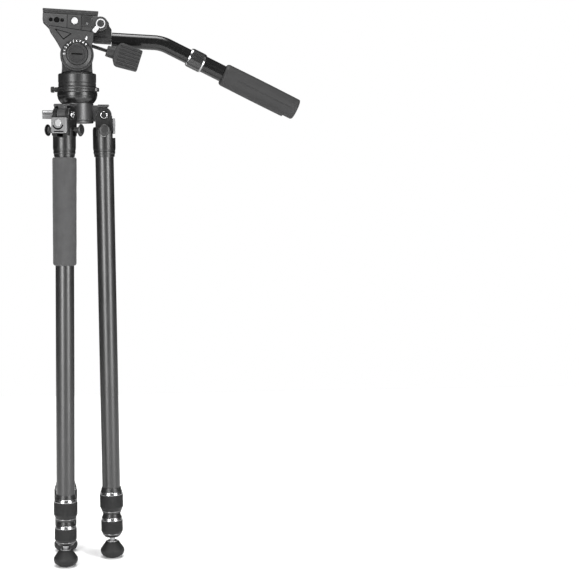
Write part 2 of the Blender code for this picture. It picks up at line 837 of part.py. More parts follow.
def make_handle_mount(tilt):
    outline = arc(ROSETTE, 11.8 * MM, 250, 90, 10)
    outline += [
        (41.6 * MM, 62.5 * MM),
        (49.3 * MM, 55.3 * MM),
        (49.9 * MM, 49.7 * MM),
        (54.2 * MM, 44.6 * MM),
        (55 * MM, 23.4 * MM),
        (27.4 * MM, 22.5 * MM),
    ]
    mount = slab("handle_mount", outline, -2.3 * MM, 22 * MM, "black_metal", tilt)
    cut(
        mount,
        rod("mount_bore", 3.8 * MM, -30 * MM, 30 * MM, None, tilt, (ROSETTE[0], 0, ROSETTE[1]), ALONG_Y, 16),
        rod(
            "bar_seat", 5.3 * MM, 40 * MM, 60 * MM, None, tilt, (0, BAR_Y, BAR_HEIGHT + 1.6 * MM),
            (0, math.radians(90), 0), 16,
        ),
    )


def make_lever(tilt):
    low = CRADLE_HALF + 0.5 * MM
    high = low + 4.5 * MM
    place = (ROSETTE[0], 0, ROSETTE[1])
    lever = turned(
        "handle_lever",
        [
            (0, high - 1.2 * MM),
            (5.3 * MM, high - 1.2 * MM),
            (5.3 * MM, high),
            (7.9 * MM, high),
            (7.9 * MM, low),
            (3.4 * MM, low),
            (3.4 * MM, -21 * MM),
            (0, -21 * MM),
        ],
        "white_plastic",
        tilt,
        place,
        ALONG_Y,
    )
    turned_arm = empty("lever_arm_axis", tilt, place, (0, math.radians(37.5), 0))
    arm = block("lever_arm", (-3 * MM, -high, -17.8 * MM), (3 * MM, -low, -6 * MM), None, turned_arm)
    fuse(lever, arm)


def make_bar(tilt):
    """The bent bar: level, then an arc, then straight down the handle's axis into the sleeve."""
    reach = BAR_BEND * math.tan(HANDLE_DROP / 2)
    points = [(BAR_START, BAR_Y, BAR_HEIGHT), (90 * MM, BAR_Y, BAR_HEIGHT)]
    centre = (BAR_CORNER - reach, BAR_HEIGHT - BAR_BEND)
    for x, z in arc(centre, BAR_BEND, 90, 90 - math.degrees(HANDLE_DROP), 4):
        points.append((x, BAR_Y, z))
    points.append(handle_point(BAR_END))
    bar = spline_object("handle_bar", points, tilt, "3D")
    bar.data.bevel_depth = BAR_RADIUS
    bar.data.bevel_resolution = 4
    bar.data.use_fill_caps = True
    bar = as_mesh(bar, "gloss_black")
    spigot = rod(
        "bar_spigot", 5 * MM, BAR_START - 13 * MM, BAR_START + 6 * MM, None, tilt,
        (0, BAR_Y, BAR_HEIGHT + 1.6 * MM), (0, math.radians(90), 0), 16,
    )
    fuse(bar, spigot)


def make_handle(tilt):
    handle = empty(
        "handle_axis", tilt, (BAR_CORNER, BAR_Y, BAR_HEIGHT), (0, math.radians(90) + HANDLE_DROP, 0)
    )
    low, high = COLLAR
    near = BAR_RADIUS + 0.5 * MM
    tube("handle_sleeve", SLEEVE_RADIUS, near, low + 5 * MM, GRIP[1] - 6 * MM, "black_metal", handle)
    turned(
        "handle_collar",
        [
            (SLEEVE_RADIUS + 0.5 * MM, high),
            (15 * MM, high),
            (15.9 * MM, high - 1.2 * MM),
            (15.9 * MM, low + 1.2 * MM),
            (15 * MM, low),
            (near, low),
            (near, low + 4.6 * MM),
            (SLEEVE_RADIUS + 0.5 * MM, low + 4.6 * MM),
        ],
        "rubber",
        handle,
    )
    low, high = GRIP
    turned(
        "handle_grip",
        [
            (0, high),
            (GRIP_RADIUS - 3 * MM, high),
            (GRIP_RADIUS, high - 3 * MM),
            (GRIP_RADIUS + 0.8 * MM, high - 17 * MM),
            (GRIP_RADIUS, high - 30 * MM),
            (GRIP_RADIUS, low + 3 * MM),
            (GRIP_RADIUS - 2.5 * MM, low),
            (SLEEVE_RADIUS + GAP, low),
            (SLEEVE_RADIUS + GAP, high - 5.7 * MM),
            (0, high - 5.7 * MM),
        ],
        "rubber",
        handle,
    )


def make_tilt_knob(tilt):
    knob_axis = empty(
        "tilt_knob_axis", tilt, (KNOB_START[0], KNOB_Y, KNOB_START[1]), (0, math.radians(90) + KNOB_DROP, 0)
    )
    neck = 27.4 * MM
    flare = neck + 24 * MM
    end = neck + 55.6 * MM
    knob = turned(
        "tilt_lock_knob",
        [
            (0, flare + 4 * MM),
            (11 * MM, flare + 4 * MM),
            (9.2 * MM, neck + 14 * MM),
            (8.9 * MM, neck + 1 * MM),
            (8 * MM, neck),
            (2.75 * MM, neck),
            (2.75 * MM, -6 * MM),
            (0, -6 * MM),
        ],
        "rubber",
        knob_axis,
    )
    half_near = 19.2 * MM
    half_far = 17.1 * MM
    paddle = [(-9 * MM, neck + 15 * MM), (-half_near, flare), (-half_far, end)]
    paddle += [(half_far, end), (half_near, flare), (9 * MM, neck + 15 * MM)]
    fuse(knob, slab("knob_paddle", paddle, -11 * MM, 11 * MM, None, knob_axis))


clear_scene()
PARTS = collection("tripod_with_fluid_head")
TOOLS = collection("cutters")
TRIPOD = empty("tripod_axis", None, (AXIS_X, 0, 0))
make_hub(TRIPOD)
make_accessory_port(TRIPOD)
make_bowl(TRIPOD)
make_legs(TRIPOD)
make_pan_base(TRIPOD)
PAN = empty("pan_axis", TRIPOD)
make_pan_platform(PAN)
TILT = empty("tilt_axis", PAN, (0, 0, TILT_HEIGHT), (0, TILT_AT_REST, 0))
make_cradle(TILT)
make_tilt_axle(TILT)
make_drag_dial(TILT)
make_plate(TILT)
make_handle_mount(TILT)
make_lever(TILT)
make_bar(TILT)
make_handle(TILT)
make_tilt_knob(TILT)
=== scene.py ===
"""Looks of the video tripod and its fluid head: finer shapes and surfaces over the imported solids.

Every size is in metres.  The frames of the legs, the tilt axis, the pan handle and the
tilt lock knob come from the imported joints, and shapes are given in those frames.
"""

import json
import math

import bmesh
import bpy
from mathutils import Matrix, Vector, noise


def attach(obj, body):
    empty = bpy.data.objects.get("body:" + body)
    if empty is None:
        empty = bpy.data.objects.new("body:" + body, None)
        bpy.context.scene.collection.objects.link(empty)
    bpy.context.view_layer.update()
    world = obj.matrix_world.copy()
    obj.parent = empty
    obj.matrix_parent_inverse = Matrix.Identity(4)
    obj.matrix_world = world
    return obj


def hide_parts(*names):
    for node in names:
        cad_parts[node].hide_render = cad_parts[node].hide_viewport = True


MM = 0.001
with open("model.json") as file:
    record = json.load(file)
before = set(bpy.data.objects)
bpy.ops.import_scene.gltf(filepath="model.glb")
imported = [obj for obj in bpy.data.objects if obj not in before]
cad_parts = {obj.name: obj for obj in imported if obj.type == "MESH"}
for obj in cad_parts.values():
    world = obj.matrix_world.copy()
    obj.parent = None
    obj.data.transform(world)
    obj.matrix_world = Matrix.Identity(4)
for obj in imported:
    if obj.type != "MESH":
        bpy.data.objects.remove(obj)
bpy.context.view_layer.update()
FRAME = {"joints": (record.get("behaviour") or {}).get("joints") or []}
JOINTS = {joint["name"]: joint for joint in FRAME["joints"]}


def mm(*values):
    """The values, given in millimetres, as a tuple of metres."""
    return tuple(value * MM for value in values)


def path_mm(*points):
    """A path's points, given in millimetres, in metres."""
    return [mm(*point) for point in points]


# --- frames ---------------------------------------------------------------------


def pose(origin, x, z):
    """A frame at origin whose Z is z and whose X is as near x as a right angle allows."""
    up = Vector(z).normalized()
    side = Vector(x)
    side = (side - up * side.dot(up)).normalized()
    turn = Matrix((side, up.cross(side), up)).transposed()
    return Matrix.Translation(Vector(origin)) @ turn.to_4x4()


def joint_point(name):
    return Vector(JOINTS[name]["pos_m"])


def joint_axis(name):
    return Vector(JOINTS[name]["axis"])


def leg_frame(number):
    """Origin on the hinge pin, -Z down the leg, +X away from the tripod's middle."""
    pin = joint_point(f"leg_{number}_fold")
    up = -joint_axis(f"leg_{number}_middle_slide")
    outward = pin - joint_point("pan")
    return pose(pin, (outward.x, outward.y, 0.0), up)


def upright_frame(number):
    """The leg's frame turned upright, for the hub's parts beside it."""
    side = leg_frame(number)
    return pose(side.translation, (side.col[0].x, side.col[0].y, 0.0), (0, 0, 1))


DOWN = Vector((0.0, 0.0, -1.0))
MIDDLE = joint_point("pan")
HUB = Matrix.Translation((MIDDLE.x, MIDDLE.y, 0.0))
PLATE_WAY = -joint_axis("camera_plate_slide")
TILT = pose(joint_point("tilt"), PLATE_WAY, PLATE_WAY.cross(Vector((0.0, 1.0, 0.0))))
COLLAR_MIDDLE = 62.9 * MM  # from the bar's corner, along the handle's axis
HANDLE_WAY = joint_axis("handle_telescope")
HANDLE = pose(joint_point("handle_collar_turn") - HANDLE_WAY * COLLAR_MIDDLE, DOWN, HANDLE_WAY)
KNOB = pose(joint_point("tilt_lock_turn"), DOWN, joint_axis("tilt_lock_turn"))
LEGS = (1, 2, 3)
GRIP_LEG = 2
UPRIGHT = Matrix.Identity(4)
TO_FRONT = Matrix.Rotation(math.radians(90), 4, "X")  # local Z points to -Y
TO_BACK = Matrix.Rotation(math.radians(-90), 4, "X")  # local Z points to +Y
TO_LEFT = Matrix.Rotation(math.radians(-90), 4, "Y")  # local Z points to -X
TO_RIGHT = Matrix.Rotation(math.radians(90), 4, "Y")  # local Z points to +X

# --- materials ------------------------------------------------------------------


class Nodes:
    """Short names for making and linking shader nodes of one material."""

    def __init__(self, name):
        self.material = bpy.data.materials.new(name)
        self.material.use_nodes = True
        self.tree = self.material.node_tree
        self.shader = self.tree.nodes["Principled BSDF"]

    def node(self, kind, **settings):
        made = self.tree.nodes.new("ShaderNode" + kind)
        for key, value in settings.items():
            setattr(made, key, value)
        return made

    def link(self, source, target):
        self.tree.links.new(source, target)

    def noise(self, vector, size, detail=3.0, roughness=0.55):
        made = self.node("TexNoise")
        made.inputs["Scale"].default_value = 1.0 / size
        made.inputs["Detail"].default_value = detail
        made.inputs["Roughness"].default_value = roughness
        self.link(vector, made.inputs["Vector"])
        return made.outputs["Fac"]

    def cells(self, vector, size):
        made = self.node("TexVoronoi", feature="F1")
        made.inputs["Scale"].default_value = 1.0 / size
        self.link(vector, made.inputs["Vector"])
        return made.outputs["Distance"]

    def span(self, value, low, high, from_low=0.3, from_high=0.7):
        made = self.node("MapRange")
        made.inputs["From Min"].default_value = from_low
        made.inputs["From Max"].default_value = from_high
        made.inputs["To Min"].default_value = low
        made.inputs["To Max"].default_value = high
        self.link(value, made.inputs["Value"])
        return made.outputs["Result"]

    def blend(self, factor, first, second):
        made = self.node("Mix", data_type="RGBA")
        made.inputs["A"].default_value = (*first, 1.0)
        made.inputs["B"].default_value = (*second, 1.0)
        self.link(factor, made.inputs["Factor"])
        return made.outputs["Result"]


def grey(value):
    return (value, value, value * 1.01)


def finish_of(name, tone, rough, metal=0.0, grain=0.35, bump=0.12, depth=0.05, stretch=(1, 1, 1),
              spread=0.05, tint=0.14, patch=28.0, wear=0.0, cells=False, level=0.5, coat=0.0, sheen=0.0):
    """A surface of one grey tone whose grain, tone and gloss vary a little from place to place.

    grain and patch are sizes in millimetres; wear is how much paler the rubbed edges are."""
    nodes = Nodes(name)
    place = nodes.node("TexCoord").outputs["Object"]
    stretched = nodes.node("Mapping")
    stretched.inputs["Scale"].default_value = stretch
    nodes.link(place, stretched.inputs["Vector"])
    along = stretched.outputs["Vector"]
    fine = nodes.cells(along, grain * MM) if cells else nodes.noise(along, grain * MM)
    broad = nodes.noise(place, patch * MM, 4.0)
    streak = nodes.noise(along, grain * 6 * MM, 2.0)
    colour = nodes.blend(nodes.span(broad, 0.0, 1.0), grey(tone * (1 - tint)), grey(tone * (1 + tint)))
    if wear:
        edge = nodes.span(nodes.node("NewGeometry").outputs["Pointiness"], 0.0, wear, 0.52, 0.60)
        rubbed = nodes.node("Mix", data_type="RGBA")
        nodes.link(edge, rubbed.inputs["Factor"])
        nodes.link(colour, rubbed.inputs["A"])
        rubbed.inputs["B"].default_value = (*grey(min(0.5, tone * 4 + 0.05)), 1.0)
        colour = rubbed.outputs["Result"]
    nodes.link(colour, nodes.shader.inputs["Base Color"])
    gloss = nodes.node("Math", operation="ADD")
    nodes.link(nodes.span(streak, -spread, spread), gloss.inputs[0])
    nodes.link(nodes.span(broad, rough - spread / 2, rough + spread / 2), gloss.inputs[1])
    nodes.link(gloss.outputs["Value"], nodes.shader.inputs["Roughness"])
    relief = nodes.node("Bump")
    relief.inputs["Strength"].default_value = bump
    relief.inputs["Distance"].default_value = depth * MM
    nodes.link(fine, relief.inputs["Height"])
    nodes.link(relief.outputs["Normal"], nodes.shader.inputs["Normal"])
    nodes.shader.inputs["Metallic"].default_value = metal
    nodes.shader.inputs["Specular IOR Level"].default_value = level
    nodes.shader.inputs["Coat Weight"].default_value = coat
    nodes.shader.inputs["Coat Roughness"].default_value = 0.1
    nodes.shader.inputs["Sheen Weight"].default_value = sheen
    return nodes.material


# Each record slot's surface; the names after it are variants that share a slot.
LOOKS = {
    "black_metal": finish_of(
        "satin_black_coat", 0.010, 0.42, grain=0.30, bump=0.25, depth=0.03, wear=0.12
    ),
    "gloss_black": finish_of(
        "gloss_black_coat", 0.005, 0.30, grain=0.6, bump=0.03, depth=0.02, spread=0.03
    ),
    "bar_gloss": finish_of(
        "bar_gloss_black", 0.006, 0.20, grain=0.5, bump=0.04, depth=0.02, stretch=(1, 1, 0.1),
        spread=0.03, level=0.35
    ),
    "hub_metal": finish_of(
        "hub_satin_grey", 0.062, 0.38, metal=0.6, grain=0.35, bump=0.25, depth=0.03, wear=0.15
    ),
    "port_metal": finish_of("port_blasted", 0.20, 0.38, metal=0.8, grain=0.25, bump=0.3, depth=0.02),
    "lock_metal": finish_of(
        "tab_blasted", 0.150, 0.48, metal=0.4, grain=0.22, bump=0.35, depth=0.03, wear=0.2
    ),
    "tube_black": finish_of(
        "tube_anodised", 0.011, 0.36, metal=0.15, grain=0.25, bump=0.10, depth=0.02, stretch=(1, 1, 0.02),
        spread=0.04, tint=0.08, patch=60, level=0.75
    ),
    "chrome": finish_of(
        "chrome", 0.62, 0.14, metal=1.0, grain=0.5, bump=0.03, depth=0.01, spread=0.03, tint=0.03
    ),
    "steel": finish_of(
        "turned_steel", 0.42, 0.28, metal=1.0, grain=0.2, bump=0.15, depth=0.02, stretch=(1, 1, 0.1)
    ),
    "grip_rubber": finish_of(
        "grip_rubber", 0.016, 0.60, grain=0.35, bump=0.5, depth=0.05, tint=0.10, level=0.3
    ),
    "lock_rubber": finish_of("lock_rubber", 0.009, 0.50, grain=0.30, bump=0.4, depth=0.04, level=0.3),
    "foot_rubber": finish_of("foot_rubber", 0.009, 0.60, grain=0.5, bump=0.6, depth=0.06, level=0.28),
    "foam": finish_of(
        "closed_cell_foam", 0.046, 0.92, grain=0.75, bump=0.75, depth=0.16, cells=True, tint=0.12,
        patch=12, level=0.25, sheen=0.1
    ),
    "white_plastic": finish_of("white_plastic", 0.38, 0.34, grain=0.4, bump=0.08, depth=0.02, tint=0.02),
    "bracket": finish_of("bracket_deep_black", 0.006, 0.34, grain=0.30, bump=0.2, depth=0.03, wear=0.06),
    "cradle": finish_of(
        "cradle_satin_grey_black", 0.017, 0.46, grain=0.28, bump=0.3, depth=0.03, wear=0.12
    ),
    "drum": finish_of(
        "drum_satin_black", 0.018, 0.36, metal=0.3, grain=0.25, bump=0.12, depth=0.02,
        stretch=(1, 1, 0.1), wear=0.1
    ),
    "dial": finish_of("dial_satin_black", 0.008, 0.38, metal=0.1, grain=0.25, bump=0.12, depth=0.02),
    "dial_face": finish_of("dial_face_grey", 0.020, 0.42, metal=0.3, grain=0.22, bump=0.15, depth=0.02),
    "collar_black": finish_of(
        "collar_satin_black", 0.007, 0.34, grain=0.30, bump=0.15, depth=0.02, coat=0.15
    ),
    "bright_steel": finish_of(
        "bright_turned_steel", 0.36, 0.42, metal=0.6, grain=0.2, bump=0.08, depth=0.01
    ),
    "ring_chrome": finish_of(
        "ring_dark_chrome", 0.34, 0.24, metal=1.0, grain=0.5, bump=0.03, depth=0.01, spread=0.03,
        tint=0.03
    ),
    "line_chrome": finish_of("line_dark_chrome", 0.20, 0.30, metal=1.0, grain=0.5, bump=0.03, depth=0.01),
    "cone_black": finish_of("lock_cone_black", 0.006, 0.40, grain=0.30, bump=0.10, depth=0.02),
}
INK = finish_of("white_ink", 0.80, 0.5, grain=0.2, bump=0.2, depth=0.01, tint=0.04)
# Painted shade: a near-black surface laid as sheets in grooves, holes, notches and the dial's slot where
# there is only shadow; the bubble level's printed marks use it too.
SHADE_AND_MARK_BLACK = finish_of("painted_shade_and_mark_black", 0.003, 0.6, grain=0.4, bump=0.2, depth=0.02, level=0.05)
WINDOW = finish_of("level_window", 0.06, 0.25, grain=0.6, bump=0.02, depth=0.01, level=0.3)

# --- shapes ---------------------------------------------------------------------


def added(name, mesh, at):
    made = bpy.data.objects.new(name, mesh)
    bpy.context.scene.collection.objects.link(made)
    made.matrix_world = at
    return made


def from_cage(name, cage, at, turn):
    bmesh.ops.recalc_face_normals(cage, faces=cage.faces)
    mesh = bpy.data.meshes.new(name)
    cage.to_mesh(mesh)
    cage.free()
    mesh.transform(turn)
    return added(name, mesh, at)


def rounded(points, radius, closed, steps=3):
    """The outline with its corners eased; a third number is that corner's own radius."""
    eased = []
    count = len(points)
    for index, point in enumerate(points):
        corner = Vector(point[:2])
        reach = point[2] if len(point) > 2 else radius
        if reach == 0 or (not closed and index in (0, count - 1)):
            eased.append(corner)
            continue
        before = Vector(points[index - 1][:2]) - corner
        after = Vector(points[(index + 1) % count][:2]) - corner
        reach = min(reach, 0.45 * before.length, 0.45 * after.length)
        start = corner + before.normalized() * reach
        end = corner + after.normalized() * reach
        for step in range(steps + 1):
            t = step / steps
            eased.append(start * (1 - t) ** 2 + corner * 2 * t * (1 - t) + end * t**2)
    return eased


def arc(centre, radius, start, end, count):
    """Points on an arc, its angles in degrees counted from +X."""
    points = []
    for step in range(count + 1):
        angle = math.radians(start + (end - start) * step / count)
        points.append((centre[0] + radius * math.cos(angle), centre[1] + radius * math.sin(angle), 0.0))
    return points


def lathe(name, profile, at, turn=UPRIGHT, steps=96, soft=0.4 * MM, shape=None):
    """A turned solid about Z; its (radius, height) profile closes into a ring off the axis.

    shape(angle, radius, height) may change the radius from place to place."""
    ring = profile[0][0] > 0
    cage = bmesh.new()
    rows = []
    for radius, height in rounded(profile, soft, ring):
        if radius < 0.001 * MM:
            rows.append([cage.verts.new((0.0, 0.0, height))])
            continue
        row = []
        for step in range(steps):
            angle = math.tau * step / steps
            reach = shape(angle, radius, height) if shape else radius
            row.append(cage.verts.new((reach * math.cos(angle), reach * math.sin(angle), height)))
        rows.append(row)
    pairs = list(zip(rows, rows[1:]))
    if ring:
        pairs.append((rows[-1], rows[0]))
    for upper, lower in pairs:
        for step in range(steps):
            after = (step + 1) % steps
            corners = [upper[step % len(upper)], lower[step % len(lower)]]
            for corner in (lower[after % len(lower)], upper[after % len(upper)]):
                if corner not in corners:
                    corners.append(corner)
            cage.faces.new(corners)
    return from_cage(name, cage, at, turn)


def rod(name, radius, low, high, at, turn=UPRIGHT, steps=48):
    """A plain sharp-edged cylinder about Z."""
    return lathe(name, [(0, high), (radius, high), (radius, low), (0, low)], at, turn, steps, 0)


def slab(name, outline, low, high, at, turn=UPRIGHT, edge=0.5 * MM, soft=0.0, segments=2):
    """A flat outline of (x, z) points with its thickness along Y, its edges bevelled."""
    cage = bmesh.new()
    points = rounded(outline, soft, True) if soft else [Vector(point[:2]) for point in outline]
    face = cage.faces.new([cage.verts.new((point.x, low, point.y)) for point in points])
    grown = bmesh.ops.extrude_face_region(cage, geom=[face])
    moved = [part for part in grown["geom"] if isinstance(part, bmesh.types.BMVert)]
    bmesh.ops.translate(cage, verts=moved, vec=(0.0, high - low, 0.0))
    made = from_cage(name, cage, at, turn)
    if edge:
        round_off(made, edge, segments)
    return made


def brick(name, low, high, at, edge=0.5 * MM, segments=2):
    x0, y0, z0 = low
    x1, y1, z1 = high
    return slab(name, [(x0, z0), (x1, z0), (x1, z1), (x0, z1)], y0, y1, at, edge=edge, segments=segments)


def bake(target):
    """Applies the modifiers."""
    bpy.context.view_layer.update()
    evaluated = target.evaluated_get(bpy.context.evaluated_depsgraph_get())
    mesh = bpy.data.meshes.new_from_object(evaluated)
    target.modifiers.clear()
    old = target.data
    target.data = mesh
    bpy.data.meshes.remove(old)


def round_off(target, width, segments=2, angle=38.0):
    step = target.modifiers.new("edges", "BEVEL")
    step.width = width
    step.segments = segments
    step.limit_method = "ANGLE"
    step.angle_limit = math.radians(angle)
    step.miter_outer = "MITER_ARC"
    bake(target)


def combine(target, operation, tools):
    for tool in tools:
        step = target.modifiers.new("shape", "BOOLEAN")
        step.operation = operation
        step.solver = "MANIFOLD"
        step.object = tool
    bake(target)
    for tool in tools:
        bpy.data.objects.remove(tool)


def cut(target, *tools):
    combine(target, "DIFFERENCE", tools)


def fuse(target, *tools):
    combine(target, "UNION", tools)


def merged(target, *others):
    """Joins separate shells into one piece."""
    cage = bmesh.new()
    cage.from_mesh(target.data)
    for other in others:
        other.data.transform(target.matrix_world.inverted() @ other.matrix_world)
        cage.from_mesh(other.data)
    cage.to_mesh(target.data)
    cage.free()
    for other in others:
        bpy.data.objects.remove(other)
    return target


def piece(made, body, slot, *nodes, look=None, sharp=32.0):
    """Gives a shape its surface and its smooth shading, and lets it ride on a CAD body."""
    made.data.materials.clear()
    made.data.materials.append(look or LOOKS[slot])
    made.data.shade_smooth()
    made.data.set_sharp_from_angle(angle=math.radians(sharp))
    even = made.modifiers.new("normals", "WEIGHTED_NORMAL")
    even.keep_sharp = True
    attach(made, body)
    if nodes:
        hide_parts(*nodes)
    return made


MASTERS = {}


def repeated(key, name, at, build):
    """Builds a shape once, and copies its mesh for the other legs."""
    if key not in MASTERS:
        made = build(name, at)
        MASTERS[key] = made.data.copy()
        return made
    return added(name, MASTERS[key].copy(), at)


def knurl(count, depth, low, high, least):
    """Flutes down the outer side of a turned solid, between two heights."""

    def shape(angle, radius, height):
        if radius < least or not low <= height <= high:
            return radius
        return radius - depth * (0.5 + 0.5 * math.cos(count * angle)) ** 2

    return shape


def ribs(low, high, radius, pitch, depth):
    """Profile points of small rings from high down to low."""
    points = []
    count = max(1, round((high - low) / pitch))
    step = (high - low) / count
    for index in range(count):
        top = high - index * step
        points += [(radius - depth, top, 0.0), (radius, top - 0.25 * step, 0.0)]
        points += [(radius, top - 0.75 * step, 0.0), (radius - depth, top - step + 0.01 * MM, 0.0)]
    return points


# --- hub and bowl -----------------------------------------------------------------

HUB_RADIUS = 26.0 * MM
HUB_LOW, HUB_HIGH = mm(723.6, 756.3)
PIN_REACH = 42.5 * MM
PIN_HEIGHT = 737.0 * MM
PORT_HEIGHT = 737.7 * MM


def on_axis(height):
    """An upright frame on the pan axis, at a height above the floor."""
    return HUB @ Matrix.Translation((0, 0, height))


def make_hub():
    hub = lathe(
        "hub_casting",
        [
            (5.2 * MM, HUB_HIGH), (HUB_RADIUS - 0.8 * MM, HUB_HIGH), (HUB_RADIUS, HUB_HIGH - 0.8 * MM),
            (HUB_RADIUS, HUB_LOW + 5.4 * MM), (HUB_RADIUS - 0.9 * MM, HUB_LOW + 4.8 * MM),
            (HUB_RADIUS - 0.9 * MM, HUB_LOW + 3.8 * MM), (HUB_RADIUS, HUB_LOW + 3.2 * MM),
            (HUB_RADIUS, HUB_LOW + 1.4 * MM), (HUB_RADIUS - 1.2 * MM, HUB_LOW), (19.6 * MM, HUB_LOW),
            (19.0 * MM, HUB_LOW + 0.6 * MM), mm(19.0, 749.3), mm(5.2, 749.3)
        ],
        HUB
    )
    for number in LEGS:
        lug_frame = upright_frame(number)
        inner = HUB_RADIUS - 4 * MM - PIN_REACH
        ear = [(inner, -10 * MM, 0.0)] + arc((0, 0), 11 * MM, -90, 60, 20)
        ear += [(7.5 * MM, 15.8 * MM, 0.0), (inner, 15.8 * MM, 0.0)]
        lug = slab("lug", ear, -8 * MM, 8 * MM, lug_frame, edge=0.6 * MM)
        stop = slab(
            "stop", path_mm((-10, 13.1), (7.2, 13.1), (8.7, 14.2), (8.7, 15.9), (-10, 15.9)), -15 * MM,
            15 * MM, lug_frame, edge=0.5 * MM
        )
        hole = rod("hole", 4.3 * MM, -12 * MM, 12 * MM, lug_frame, TO_FRONT)
        fuse(hub, lug, stop)
        cut(hub, hole)
    socket = rod("socket", 5.3 * MM, 20 * MM, 40 * MM, on_axis(PORT_HEIGHT), TO_LEFT)
    cut(hub, socket)
    piece(hub, "tripod_hub", "hub_metal", "spider_hub")


def make_stop_pads():
    """Dark liners on the undersides of the hub's stop flanges, one over each leg."""
    for number in LEGS:
        at = upright_frame(number)
        pad = brick(
            f"leg_{number}_stop_cap", mm(-9.4, -14.2, 15.95), mm(8.0, 14.2, 16.9), at, edge=0.35 * MM
        )
        piece(pad, "tripod_hub", "black_metal", look=LOOKS["bracket"])


def thread(outer, low, high, pitch, depth):
    """Profile points of a thread's ridges down a bore's wall, from low up to high."""
    points = []
    count = int((high - low) / pitch)
    for index in range(count):
        start = low + index * pitch
        points += [(outer, start, 0.0), (outer - depth, start + 0.35 * pitch, 0.0)]
        points += [(outer - depth, start + 0.55 * pitch, 0.0), (outer, start + 0.95 * pitch, 0.0)]
    return points


def make_port():
    mouth, root = mm(57.0, 26.5)
    body = [(4.7 * MM, mouth), (6.4 * MM, mouth, 0.2 * MM), (7.0 * MM, mouth - 0.8 * MM, 0.4 * MM)]
    body += [(7.0 * MM, root + 6.4 * MM), (6.5 * MM, root + 6.0 * MM), (6.5 * MM, root + 5.0 * MM)]
    body += [(7.0 * MM, root + 4.6 * MM), (7.0 * MM, root), (5.0 * MM, root), mm(5.0, 20), mm(3.6, 20)]
    body += thread(4.1 * MM, 22 * MM, mouth - 2.2 * MM, 1.6 * MM, 0.5 * MM)
    body += [(4.1 * MM, mouth - 1.2 * MM, 0.0)]
    port = lathe("side_port", body, on_axis(PORT_HEIGHT), TO_LEFT, 96, 0.15 * MM)
    piece(port, "tripod_hub", "port_metal", "accessory_port")


def make_bowl():
    bowl = lathe(
        "apex_bowl_shell",
        path_mm(
            (5.2, 774.0), (31.9, 774.0), (32.6, 773.3), (32.6, 767.6, 0.3), (32.0, 767.0, 0.2),
            (32.0, 766.4, 0.4), (31.2, 763.0, 2), (29.0, 759.4, 2), (27.2, 757.2), (27.2, 756.6),
            (5.2, 756.6)
        ),
        HUB, steps=128
    )
    piece(bowl, "tripod_hub", "gloss_black", "apex_bowl")
    top = 748.9 * MM
    screw = lathe(
        "head_bolt",
        [
            (0, 776.5 * MM), mm(4.2, 776.5), mm(4.6, 776.1), (4.6 * MM, top), (9 * MM, top),
            (9 * MM, top - 5.0 * MM), (8.2 * MM, top - 5.6 * MM), (0, top - 5.6 * MM)
        ],
        HUB, steps=72, shape=knurl(24, 0.5 * MM, top - 5.1 * MM, top - 0.1 * MM, 8.5 * MM)
    )
    cut(screw, socket_key("key", 3.5 * MM, top - 9 * MM, top - 3.2 * MM, HUB))
    piece(screw, "tripod_hub", "steel", "head_screw")


def socket_key(name, reach, low, high, at, turn=UPRIGHT):
    """The hexagonal tool that cuts a key's socket."""
    return rod(name, reach, low, high, at, turn, 6)


# --- legs -----------------------------------------------------------------------

# Each lock's top, bottom, outer radius, and the bore above and below its step.
LOCKS = {"upper": mm(-617.4, -660.3, 19.4, 15.5, 13.8), "lower": mm(-662.0, -701.5, 18.1, 13.9, 11.7)}
FLOOR_REACH = PIN_HEIGHT / math.cos(math.radians(0.75))


def build_bracket(name, at):
    made = lathe(
        name,
        path_mm(
            (0, -19), (17, -19, 1.5), (18.4, -24, 1.5), (18.4, -54, 1.2), (17.5, -58.6), (17.9, -59.2),
            (17.6, -62.5), (17.0, -63.0), (16.5, -67.7), (15.3, -67.7), (15.3, -39.7), (0, -39.7)
        ),
        at, steps=96
    )
    body = slab(
        "body", path_mm((-13.4, -34, 2), (13.4, -34, 2), (13.4, -1.3), (-13.4, -1.3)), -15.3 * MM,
        15.3 * MM, at, edge=0, soft=1 * MM
    )
    cheeks = lathe(
        "cheeks",
        path_mm((0, 15.35), (11.6, 15.35), (12.6, 14.4), (12.6, -14.4), (11.6, -15.35), (0, -15.35)), at,
        TO_FRONT, 72
    )
    fuse(made, body, cheeks)
    slot = slab(
        "slot", path_mm((-30, -14), (30, -14), (30, 30), (-30, 30)), -8.3 * MM, 8.3 * MM, at, edge=0
    )
    bore = rod("bore", 4.2 * MM, -20 * MM, 20 * MM, at, TO_FRONT)
    tools = [slot, bore]
    for turn in (TO_FRONT, TO_BACK):
        tools.append(rod("seat", 7.85 * MM, 14 * MM, 20 * MM, at, turn, 64))
    tools.append(brick("pin_slot", mm(-2.8, -25, -34.7), mm(2.8, 25, -23.3), at, 0))
    tools.append(brick("web_slot", mm(-4, -5.4, -35.6), mm(25, 5.4, -22.2), at, 0))
    tools.append(brick("tab_seat", mm(13.7, -25, -37), mm(30, 25, -3), at, 0))
    cut(made, *tools)
    round_off(made, 0.35 * MM, 2, 40)
    return made


def build_bolt(name, at):
    head, face, seat, shank = mm(6.0, 16.2, 14.3, 4.0)
    half = [
        (0, face), (head - 0.8 * MM, face, 0.5 * MM), (head, face - 0.8 * MM, 0.5 * MM), (head, seat),
        (shank, seat)
    ]
    made = lathe(name, half + [(r[0], -r[1], 0.3 * MM) for r in reversed(half)], at, TO_FRONT, 64, 0.2 * MM)
    keys = [
        socket_key("key", 3.0 * MM, face - 1.5 * MM, face + 3 * MM, at, turn)
        for turn in (TO_FRONT, TO_BACK)
    ]
    cut(made, *keys)
    return made


def build_bolt_rings(name, at):
    profile = path_mm((6.15, 15.75), (7.6, 15.75), (7.6, 14.15), (6.15, 14.15))
    return merged(
        lathe(name, profile, at, TO_FRONT, 64, 0.35 * MM),
        lathe("back", profile, at, TO_BACK, 64, 0.35 * MM)
    )


